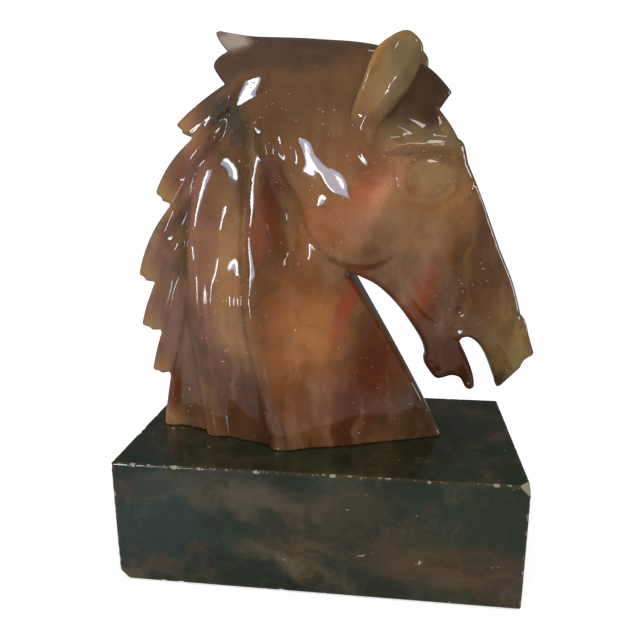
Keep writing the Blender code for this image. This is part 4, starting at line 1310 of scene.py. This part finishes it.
def stone_clouds(tree, colour, vector, clouds):
    """Lays a table of clouds over a colour, one node for each."""
    made = tinted_cloud()
    for name, ((x, v), (wide, tall), turn, tint, softness, strength) in clouds.items():
        node = use(tree, made, Color=colour, Tint=paint(*tint), Vector=vector,
                   Centre=place_of(x, v), Size=(wide * UNIT, CLOUD_DEPTH, tall * UNIT),
                   Turn=math.radians(turn), Softness=softness, Strength=strength)
        node.label = name
        colour = node.outputs["Color"]
    return colour


def polished_onyx(settings):
    """Material of the head: clouds of colour, among them painted shade under the slab and
    before the ear and a painted reflection on the slab's tip, streaks along the neck, bright
    grains, a painted glow at the thin tips, painted shade in the hollows, and a wet polish."""
    material, tree = blank_material("polished onyx")
    position = add(tree, "ShaderNodeTexCoord").outputs["Object"]
    torn = use(tree, drifted_position(), Vector=position, Scale=22.0,
               Drift=0.022).outputs["Vector"]
    fine = use(tree, drifted_position(), Vector=torn, Scale=90.0,
               Drift=0.006).outputs["Vector"]
    ground = mask_of(tree, stone_grain(), Vector=torn, Scale=18.0, Roughness=0.6,
                     From=0.32, To=0.68)
    colour = mixed(tree, ground, settings.dark_tint, settings.warm_tint)
    colour = stone_clouds(tree, colour, fine, ONYX_CLOUDS)
    ears = stone_clouds(tree, colour, fine, EAR_CLOUDS)
    colour = mixed(tree, painted(tree, "on_ear"), colour, ears)
    streaks = add(tree, "ShaderNodeMapping", {"Vector": fine, "Scale": STREAK_STRETCH})
    pale = mask_of(tree, stone_grain(), Vector=streaks.outputs["Vector"], Scale=95.0,
                   Roughness=0.6, From=0.48, To=0.72)
    height = add(tree, "ShaderNodeSeparateXYZ", {"Vector": position}).outputs["Z"]
    below = ranged(tree, height, place_of(0, STREAK_TOP)[2], place_of(0, STREAK_FULL)[2],
                   to_high=STREAK_STRENGTH)
    colour = laid_over(tree, colour, settings.pale_tint, pale, below)
    mottle = mask_of(tree, stone_grain(), Vector=fine, Scale=60.0, Roughness=0.62,
                     From=0.42, To=0.70)
    colour = laid_over(tree, colour, settings.dark_tint, mottle, strength=0.3)
    # Painted glow: the thin tips of the locks are lightened to amber, in place of light shining
    # through the stone
    colour = laid_over(tree, colour, settings.tip_glow_tint, painted(tree, "lock_tip"),
                       strength=0.45)
    # Painted shade: the hollows are darkened towards the dark umber, as if shade lay in them; the
    # same mask also dulls the polish there
    deep = ranged(tree, painted(tree, "hollow"), 0.02, 0.14, to_high=0.5)
    colour = mixed(tree, deep, colour, settings.dark_tint)
    grains = mask_of(tree, mineral_specks(), Vector=fine, Scale=700.0, Size=0.36,
                     Amount=0.12)
    field = mask_of(tree, stone_grain(), Vector=position, Scale=28.0, Roughness=0.5,
                    From=0.45, To=0.62)
    grains = math_node(tree, "MULTIPLY", grains, field)
    colour = laid_over(tree, colour, settings.grain_tint, grains, strength=0.7)
    smear = mask_of(tree, stone_grain(), Vector=position, Scale=45.0, Roughness=0.6,
                    From=0.40, To=0.70)
    rough = ranged(tree, smear, 0.0, 1.0, to_low=0.05, to_high=0.12, soft=False)
    dull = math_node(tree, "MULTIPLY", deep, HOLLOW_DULLNESS)
    wave = add(tree, "ShaderNodeTexNoise", {"Vector": position, "Scale": 120.0,
                                            "Detail": 3.0}).outputs["Fac"]
    pits = math_node(tree, "MULTIPLY", grains, GRAIN_PITS)
    bump = add(tree, "ShaderNodeBump", {"Strength": 0.25, "Distance": 0.0004,
                                        "Height": math_node(tree, "SUBTRACT", wave, pits)})
    surface(tree, {
        "Base Color": colour, "Roughness": math_node(tree, "ADD", rough, dull), "IOR": 1.5,
        "Subsurface Weight": settings.glow, "Subsurface Radius": (1.0, 0.45, 0.22),
        "Subsurface Scale": 0.006, "Coat Weight": settings.wet_coat,
        "Coat Roughness": 0.03, "Normal": bump.outputs["Normal"]})
    return material


# Clouds of colour in the plinth: centre x and v (v under the head's foot), half-sizes,
# turn in degrees, colour, softness and strength
PLINTH_CLOUDS = {
    "teal corner": ((-84, -30), (30, 26), 20, (38, 58, 58), 0.9, 0.75),
    "pale bank": ((-34, -16), (36, 8), -8, (104, 90, 70), 0.8, 0.6),
    "brown bank": ((6, -28), (28, 12), 25, (104, 80, 58), 0.8, 0.65),
    "ochre wisp": ((-8, -52), (22, 7), -20, (112, 96, 68), 0.8, 0.65),
    "dark green pool": ((34, -30), (26, 14), 0, (32, 40, 24), 0.8, 0.85),
    "green shoulder": ((84, -18), (24, 20), 0, (32, 46, 28), 0.7, 0.85),
    "red-brown bank": ((66, -46), (34, 14), -8, (100, 70, 48), 0.9, 0.8),
    "heel cloud": ((-98, -62), (10, 6), 0, (104, 84, 64), 0.6, 0.8),
}

# Torn banks in the plinth: the setting of their tint, their turn in degrees, the scale of
# their noise, its lower and upper level, and their strength
PLINTH_BANKS = {
    "brown banks": ("brown_tint", 25.0, 26.0, 0.50, 0.70, 0.7),
    "grey banks": ("cloud_tint", -30.0, 30.0, 0.54, 0.78, 0.5),
    "dark rifts": ("green_tint", 60.0, 22.0, 0.46, 0.68, 0.75),
}
BANK_STRETCH = (1.0, 1.0, 1.7)

# How much of a bite the arris takes, how much duller chips are, how high the polish's
# waves stand, and how far a chip goes down beside its grit
ARRIS_BITE = 0.24
CHIP_DULLNESS = 0.5
WAVE_HEIGHT = 0.6
CHIP_GROUND = 0.5


def clouded_stone(settings):
    """Material of the plinth: dark green stone with torn brown and grey banks, cream
    flecks, chipped edges that show the dull pale stone, and a scuffed polish."""
    material, tree = blank_material("clouded green stone")
    position = add(tree, "ShaderNodeTexCoord").outputs["Object"]
    torn = use(tree, drifted_position(), Vector=position, Scale=38.0,
               Drift=0.034).outputs["Vector"]
    fine = use(tree, drifted_position(), Vector=torn, Scale=150.0,
               Drift=0.012).outputs["Vector"]
    ground = mask_of(tree, stone_grain(), Vector=torn, Scale=24.0, Roughness=0.6,
                     From=0.38, To=0.66)
    colour = mixed(tree, ground, settings.green_tint, settings.teal_tint)
    colour = stone_clouds(tree, colour, fine, PLINTH_CLOUDS)
    for label, (tint, turn, scale, low, high, strength) in PLINTH_BANKS.items():
        layout = add(tree, "ShaderNodeMapping", {
            "Vector": fine, "Location": (0.01 * turn, 0.3, 0.02 * turn),
            "Rotation": (0.0, math.radians(turn), 0.0), "Scale": BANK_STRETCH})
        layout.label = label
        mask = mask_of(tree, stone_grain(), Vector=layout.outputs["Vector"], Scale=scale,
                       Roughness=0.66, From=low, To=high)
        colour = laid_over(tree, colour, getattr(settings, tint), mask, strength)
    veil = mask_of(tree, stone_grain(), Vector=fine, Scale=110.0, Roughness=0.7,
                   From=0.52, To=0.78)
    colour = laid_over(tree, colour, settings.cloud_tint, veil, strength=0.3)
    flecks = mask_of(tree, mineral_specks(), Vector=fine, Scale=300.0, Size=0.26,
                     Amount=0.03)
    rim = painted(tree, "arris")
    ragged = add(tree, "ShaderNodeTexNoise", {"Vector": position, "Scale": 520.0,
                                              "Detail": 5.0, "Roughness": 0.7})
    bite = math_node(tree, "ADD", ragged.outputs["Fac"],
                     math_node(tree, "MULTIPLY", rim, ARRIS_BITE))
    chipped = math_node(tree, "MAXIMUM", ranged(tree, painted(tree, "chip"), 0.05, 0.25),
                        ranged(tree, bite, 0.79, 0.83))
    colour = laid_over(tree, colour, settings.fleck_tint, flecks, strength=0.6)
    worn = ranged(tree, rim, 0.45, 0.95)
    colour = laid_over(tree, colour, settings.brown_tint, worn, strength=0.35)
    colour = laid_over(tree, colour, settings.fleck_tint, chipped, strength=0.45)
    smear = mask_of(tree, stone_grain(), Vector=position, Scale=50.0, Roughness=0.65,
                    From=0.35, To=0.75)
    rough = ranged(tree, smear, 0.0, 1.0, to_low=0.08, to_high=0.2, soft=False)
    dull = math_node(tree, "MULTIPLY", chipped, CHIP_DULLNESS)
    grit = add(tree, "ShaderNodeTexNoise", {"Vector": position, "Scale": 900.0,
                                            "Detail": 3.0}).outputs["Fac"]
    wave = add(tree, "ShaderNodeTexNoise", {"Vector": position, "Scale": 60.0,
                                            "Detail": 2.0}).outputs["Fac"]
    waves = math_node(tree, "MULTIPLY", wave, WAVE_HEIGHT)
    broken = math_node(tree, "MULTIPLY", chipped, math_node(tree, "ADD", grit, CHIP_GROUND))
    bump = add(tree, "ShaderNodeBump", {
        "Strength": 0.4, "Distance": 0.0005,
        "Height": math_node(tree, "SUBTRACT", waves, broken)})
    surface(tree, {
        "Base Color": colour, "Roughness": math_node(tree, "ADD", rough, dull), "IOR": 1.5,
        "Coat Weight": 0.3, "Coat Roughness": 0.06, "Normal": bump.outputs["Normal"]})
    return material


# Floor and backdrop, in metres: its extent, the curve between them and how far it lies
# under the plinth
FLOOR_HALF_WIDTH = 3.0
FLOOR_FRONT = -2.0
FLOOR_BACK = 1.6
BACKDROP_HEIGHT = 2.4
FLOOR_CURVE = 0.6
FLOOR_DROP = 0.0004
CURVE_POINTS = 24
FLOOR_COLUMNS = 9

# How the polish shows the floor: near the plinth, further off, and its dark patches; and
# the light from below that the camera sees
FLOOR_NEAR = 0.32
FLOOR_FAR = 0.55
NEAR_FLOOR_TINT = (0.40, 0.39, 0.42)
FAR_FLOOR_TINT = (0.12, 0.12, 0.125)
FLOOR_PATCH_TINT = (0.1, 0.1, 0.1)
FLOOR_GLOW = (0.52, 0.52, 0.52)
DARK = (0.0, 0.0, 0.0)

# Room: its tint, the share of its light that the polish shows, and the pale backdrop's
# strength
ROOM_TINT = (1.0, 0.97, 0.86)
ROOM_IN_POLISH = 0.22
BACKDROP_TINT = (1.0, 1.0, 1.0)
BACKDROP_STRENGTH = 0.95

# Light panels: the way to each from the middle of the object, its distance, width and
# height in metres, the setting of its power, and its tint
PANELS = {
    "window": ((-0.459, -0.885, 0.066), 1.1, 0.085, 0.44, "window_power", (0.88, 0.95, 1.0)),
    "window_sky": ((-0.367, -0.927, 0.066), 1.1, 0.145, 0.42, "sky_power", (0.52, 0.74, 1.0)),
    "ceiling_panel": ((0.434, -0.304, 0.848), 1.3, 0.36, 0.16, "ceiling_power",
                      (0.96, 0.98, 1.0)),
    "side_panel": ((0.90, 0.42, 0.18), 1.4, 0.30, 0.5, "side_power", (0.95, 0.98, 1.0)),
}

# Camera, fitted to the plinth's corners: its turns in degrees, its place in metres, its
# sensor in millimetres, and the picture's width and distance in pixels
CAMERA_YAW = -6.9795915
CAMERA_PITCH = 14.25837613
CAMERA_ROLL = -0.10946761
CAMERA_PLACE = (0.0358112, -0.3161325, 0.2072603)
SENSOR_WIDTH = 36.0
PICTURE_WIDTH = 640.0
PICTURE_DISTANCE = 622.44


def pale_sweep_paint(settings):
    """Paint of the floor and backdrop: pale and softly lit from below to the camera, and a
    quieter grey where the stone mirrors it, paler near the plinth."""
    material, tree = blank_material("pale sweep")
    seen = add(tree, "ShaderNodeLightPath").outputs["Is Camera Ray"]
    position = add(tree, "ShaderNodeTexCoord").outputs["Object"]
    grain = add(tree, "ShaderNodeTexNoise", {"Vector": position, "Scale": 3.0,
                                             "Detail": 3.0}).outputs["Fac"]
    near = ranged(tree, vector_node(tree, "LENGTH", position), FLOOR_FAR, FLOOR_NEAR)
    quiet = mixed(tree, near, FAR_FLOOR_TINT, NEAR_FLOOR_TINT)
    quiet = laid_over(tree, quiet, FLOOR_PATCH_TINT, grain, strength=0.2)
    surface(tree, {
        "Base Color": mixed(tree, seen, quiet, settings.floor_tint), "Roughness": 0.9,
        "Emission Color": mixed(tree, seen, DARK, FLOOR_GLOW), "Emission Strength": 1.0})
    return material


# Settings

def colour_setting(name, description, tint):
    """Colour property with a default read off the stone, 0 to 255 a channel."""
    return FloatVectorProperty(name=name, description=description, subtype="COLOR", size=3,
                               min=0.0, max=1.0, default=paint(*tint))


class OnyxHeadSettings(bpy.types.PropertyGroup):
    """Sizes and colours of the carved head."""
    crest_rounding: FloatProperty(
        name="Crest rounding", description="How far the polish wore the carved edges",
        default=0.0013, min=0.0002, max=0.004, unit="LENGTH", precision=4)
    carving: FloatProperty(
        name="Carving", description="Strength of the fine carved lines", default=1.0,
        min=0.0, max=2.0)
    strand_depth: FloatProperty(
        name="Strand depth", description="Depth of the strands cut into the mane",
        default=0.00013, min=0.0, max=0.001, unit="LENGTH", precision=5)
    glow: FloatProperty(
        name="Glow", description="Share of light that passes into the stone",
        default=0.2, min=0.0, max=1.0, subtype="FACTOR")
    wet_coat: FloatProperty(
        name="Wet coat", description="Strength of the clear polish", default=0.6,
        min=0.0, max=1.0, subtype="FACTOR")
    # The dark umber is the stone's darkest tone, and also the painted shade laid into the hollows
    dark_tint: colour_setting("Dark stone", "Umber of the darkest stone", (58, 40, 28))
    warm_tint: colour_setting("Warm stone", "Brown of the plain stone", (124, 84, 52))
    pale_tint: colour_setting("Pale streaks", "Ochre of the streaks", (176, 136, 96))
    # The amber is a painted glow at the thin tips, standing in for light through the stone
    tip_glow_tint: colour_setting("Lock tips", "Amber of the thin tips", (196, 152, 96))
    grain_tint: colour_setting("Grains", "Cream of the small grains", (226, 196, 150))


class PlinthSettings(bpy.types.PropertyGroup):
    """Sizes and colours of the plinth."""
    arris: FloatProperty(
        name="Arris", description="Radius of the worn edges", default=0.0012, min=0.0003,
        max=0.005, unit="LENGTH", precision=4)
    corner_chip: FloatProperty(
        name="Corner chip", description="Size of the two knocked-off corners",
        default=0.0045, min=0.001, max=0.01, unit="LENGTH", precision=4)
    chip_depth: FloatProperty(
        name="Chip depth", description="Depth of the chips along the edges",
        default=0.0005, min=0.0, max=0.002, unit="LENGTH", precision=4)
    green_tint: colour_setting("Green", "Dark green of the stone", (24, 33, 20))
    teal_tint: colour_setting("Teal", "Blue-green of the stone", (38, 54, 38))
    brown_tint: colour_setting("Brown", "Brown of the banks", (84, 64, 48))
    cloud_tint: colour_setting("Clouds", "Pale veils in the stone", (104, 92, 72))
    fleck_tint: colour_setting("Flecks", "Cream of flecks and chips", (206, 194, 166))


class StageSettings(bpy.types.PropertyGroup):
    """Light and floor of the studio."""
    window_power: FloatProperty(
        name="Window light", description="Power of the window at the front left, in watts",
        default=2.5, min=0.0, max=500.0)
    sky_power: FloatProperty(
        name="Sky light", description="Power of the window's dimmer pane, in watts",
        default=1.2, min=0.0, max=500.0)
    ceiling_power: FloatProperty(
        name="Ceiling light", description="Power of the small light overhead, in watts",
        default=1.0, min=0.0, max=500.0)
    side_power: FloatProperty(
        name="Side light", description="Power of the light at the right, in watts",
        default=1.8, min=0.0, max=500.0)
    room_light: FloatProperty(
        name="Room light", description="Strength of the light all round", default=0.92,
        min=0.0, max=5.0)
    floor_tint: colour_setting("Floor", "Colour of the floor and backdrop",
                               (238, 241, 250))


# Operators

def finish_piece(piece, material, slot, *nodes):
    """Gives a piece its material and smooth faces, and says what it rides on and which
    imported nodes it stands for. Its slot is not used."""
    piece.data.materials.clear()
    piece.data.materials.append(material)
    piece.data.shade_smooth()
    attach(piece, "root")
    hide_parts(*nodes)


class CarveOnyxHead(bpy.types.Operator):
    """Carves the head, neck, mane and ears from onyx and polishes them"""
    bl_idname = "horse_head.carve_head"
    bl_label = "Carve the onyx head"

    def execute(self, context):
        settings = context.scene.onyx_head
        polish = settings.crest_rounding / UNIT
        verts, faces = head_mesh(polish, settings.carving, settings.strand_depth / UNIT)
        head = mesh_object("onyx_head", to_place(verts), faces)
        for side, lead in ((1.0, 0.0), (-1.0, EAR_LEAD)):
            verts, faces = ear_mesh(side, lead, settings.carving)
            unite(head, mesh_object("ear", to_place(verts), faces))
        mesh = head.data
        verts, faces = mesh_arrays(mesh)
        if not len(faces):
            raise RuntimeError("the head has no faces")
        verts = np.clip(verts, HEAD_BOX[0], HEAD_BOX[1])
        mesh.vertices.foreach_set("co", verts.astype(np.float32).ravel())
        drawn = np.column_stack((HEEL_X + (verts[:, 0] - HEEL_PLACE) / UNIT,
                                 (verts[:, 2] - SEAT_HEIGHT) / UNIT))
        # Depth of the hollows, from which the material paints shade into them
        set_values(mesh, "hollow", hollow_depth(verts, faces, HOLLOW_PASSES))
        # Thin tips of the locks, where the material paints a glow
        set_values(mesh, "lock_tip", tip_glow_mask(drawn))
        set_values(mesh, "on_ear", ear_share(drawn, np.abs(verts[:, 1]) / DEPTH_UNIT, polish))
        finish_piece(head, polished_onyx(settings), "head_onyx", "horse_head")
        return {"FINISHED"}


class CutPlinth(bpy.types.Operator):
    """Cuts the plinth, wears its edges and chips its corners"""
    bl_idname = "horse_head.cut_plinth"
    bl_label = "Cut the plinth"

    def execute(self, context):
        settings = context.scene.head_plinth
        low = np.array(PLINTH_BOX[0])
        high = np.array(PLINTH_BOX[1])
        chips = edge_chips(low, high, settings.arris, settings.chip_depth)
        verts, quads, chip = plinth_mesh(low, high, PLINTH_STEP, settings.arris,
                                         settings.corner_chip, chips)
        if not len(quads):
            raise RuntimeError("the plinth has no faces")
        piece = mesh_object("stone_plinth", verts, quads)
        finish_piece(piece, clouded_stone(settings), "plinth_stone", "plinth")
        inner = np.sort(np.minimum(verts - low, high - verts), axis=1)[:, 1]
        set_values(piece.data, "arris", np.clip(1.0 - inner / WEAR_WIDTH, 0.0, 1.0))
        set_values(piece.data, "chip", chip * MILLIMETRES)
        return {"FINISHED"}


def sweep_mesh():
    """Floor that curves up into a backdrop: a profile of a line, a quarter circle and a
    line, carried along X."""
    turn = np.linspace(0.0, 0.5 * math.pi, CURVE_POINTS)
    profile = np.vstack(([(FLOOR_FRONT, 0.0)],
                         np.column_stack((FLOOR_BACK - FLOOR_CURVE + FLOOR_CURVE * np.sin(turn),
                                          FLOOR_CURVE - FLOOR_CURVE * np.cos(turn))),
                         [(FLOOR_BACK, BACKDROP_HEIGHT)]))
    across = np.linspace(-FLOOR_HALF_WIDTH, FLOOR_HALF_WIDTH, FLOOR_COLUMNS)
    a, row = np.meshgrid(across, np.arange(len(profile)), indexing="ij")
    verts = np.column_stack((a.ravel(), profile[row.ravel(), 0],
                             profile[row.ravel(), 1] - FLOOR_DROP))
    return verts, grid_quads(*a.shape)


def soft_panel(name, toward, distance, width, height, power, tint):
    """Area light that faces the middle of the object from a distance."""
    light = bpy.data.lights.new(name, "AREA")
    light.shape = "RECTANGLE"
    light.size = width
    light.size_y = height
    light.energy = power
    light.color = tint
    panel = bpy.data.objects.new(name, light)
    middle = Vector((0.0, 0.0, 0.5 * (CAD_BOX[0][2] + CAD_BOX[1][2])))
    way = Vector(toward).normalized()
    panel.matrix_world = Matrix.Translation(middle + distance * way) @ (
        way.to_track_quat("Z", "Y").to_matrix().to_4x4())
    panel.visible_camera = False
    bpy.context.scene.collection.objects.link(panel)
    return panel


def room_world(settings):
    """World: pale to the camera, room light for the stone's colour, and a dim room in its
    polish."""
    world = bpy.data.worlds.new("room")
    world.use_nodes = True
    tree = world.node_tree
    tree.nodes.clear()
    path = add(tree, "ShaderNodeLightPath")
    seen = path.outputs["Is Camera Ray"]
    strength = math_node(tree, "MULTIPLY", settings.room_light,
                         ranged(tree, path.outputs["Is Glossy Ray"], 0.0, 1.0, to_low=1.0,
                                to_high=ROOM_IN_POLISH, soft=False))
    room = add(tree, "ShaderNodeBackground", {"Color": ROOM_TINT, "Strength": strength})
    pale = add(tree, "ShaderNodeBackground", {"Color": BACKDROP_TINT,
                                              "Strength": BACKDROP_STRENGTH})
    both = add(tree, "ShaderNodeMixShader", {0: seen, 1: room.outputs[0],
                                             2: pale.outputs[0]})
    add(tree, "ShaderNodeOutputWorld", {"Surface": both.outputs[0]})
    laid_out(tree)
    return world


def photo_camera():
    """Camera that looks ahead by its yaw and pitch, with its frame turned by its roll."""
    yaw, pitch, roll = (math.radians(a) for a in (CAMERA_YAW, CAMERA_PITCH, CAMERA_ROLL))
    ahead = Vector((math.sin(yaw) * math.cos(pitch), math.cos(yaw) * math.cos(pitch),
                    -math.sin(pitch)))
    right = Vector((math.cos(yaw), -math.sin(yaw), 0.0))
    above = right.cross(ahead)
    across = right * math.cos(roll) + above * math.sin(roll)
    upward = above * math.cos(roll) - right * math.sin(roll)
    lens = bpy.data.cameras.new("camera")
    lens.sensor_width = SENSOR_WIDTH
    lens.lens = SENSOR_WIDTH * PICTURE_DISTANCE / PICTURE_WIDTH
    camera = bpy.data.objects.new("camera", lens)
    place = Matrix((across, upward, -ahead)).transposed().to_4x4()
    place.translation = Vector(CAMERA_PLACE)
    camera.matrix_world = place
    return camera


class SetStage(bpy.types.Operator):
    """Lays the pale floor, hangs the soft lights and sets up the camera"""
    bl_idname = "horse_head.set_stage"
    bl_label = "Set the stage"

    def execute(self, context):
        settings = context.scene.head_stage
        scene = context.scene
        floor = mesh_object("pale_floor", *sweep_mesh())
        floor.data.materials.append(pale_sweep_paint(settings))
        floor.data.shade_smooth()
        for name, (toward, distance, width, height, power, tint) in PANELS.items():
            soft_panel(name, toward, distance, width, height, getattr(settings, power), tint)
        scene.world = room_world(settings)
        scene.view_settings.view_transform = "Standard"
        camera = photo_camera()
        scene.collection.objects.link(camera)
        scene.camera = camera
        return {"FINISHED"}


class HorseHeadPanel(bpy.types.Panel):
    """Buttons and settings of the horse head"""
    bl_idname = "VIEW3D_PT_horse_head"
    bl_label = "Onyx Horse Head"
    bl_space_type = "VIEW_3D"
    bl_region_type = "UI"
    bl_category = "Horse Head"

    def draw(self, context):
        layout = self.layout
        for operator, settings in ((CarveOnyxHead, context.scene.onyx_head),
                                   (CutPlinth, context.scene.head_plinth),
                                   (SetStage, context.scene.head_stage)):
            box = layout.box()
            box.operator(operator.bl_idname)
            for name in settings.bl_rna.properties.keys():
                if name not in ("rna_type", "name"):
                    box.prop(settings, name)


CLASSES = (OnyxHeadSettings, PlinthSettings, StageSettings, CarveOnyxHead, CutPlinth,
           SetStage, HorseHeadPanel)


def register():
    """Registers the classes and puts their settings on the scene."""
    for cls in CLASSES:
        bpy.utils.register_class(cls)
    bpy.types.Scene.onyx_head = PointerProperty(type=OnyxHeadSettings)
    bpy.types.Scene.head_plinth = PointerProperty(type=PlinthSettings)
    bpy.types.Scene.head_stage = PointerProperty(type=StageSettings)


def unregister():
    """Takes the settings off the scene and the classes out again."""
    del bpy.types.Scene.onyx_head
    del bpy.types.Scene.head_plinth
    del bpy.types.Scene.head_stage
    for cls in reversed(CLASSES):
        bpy.utils.unregister_class(cls)


def main():
    """Makes the pieces and the stage."""
    register()
    bpy.ops.horse_head.carve_head()
    bpy.ops.horse_head.cut_plinth()
    bpy.ops.horse_head.set_stage()


if __name__ == "__main__":
    main()
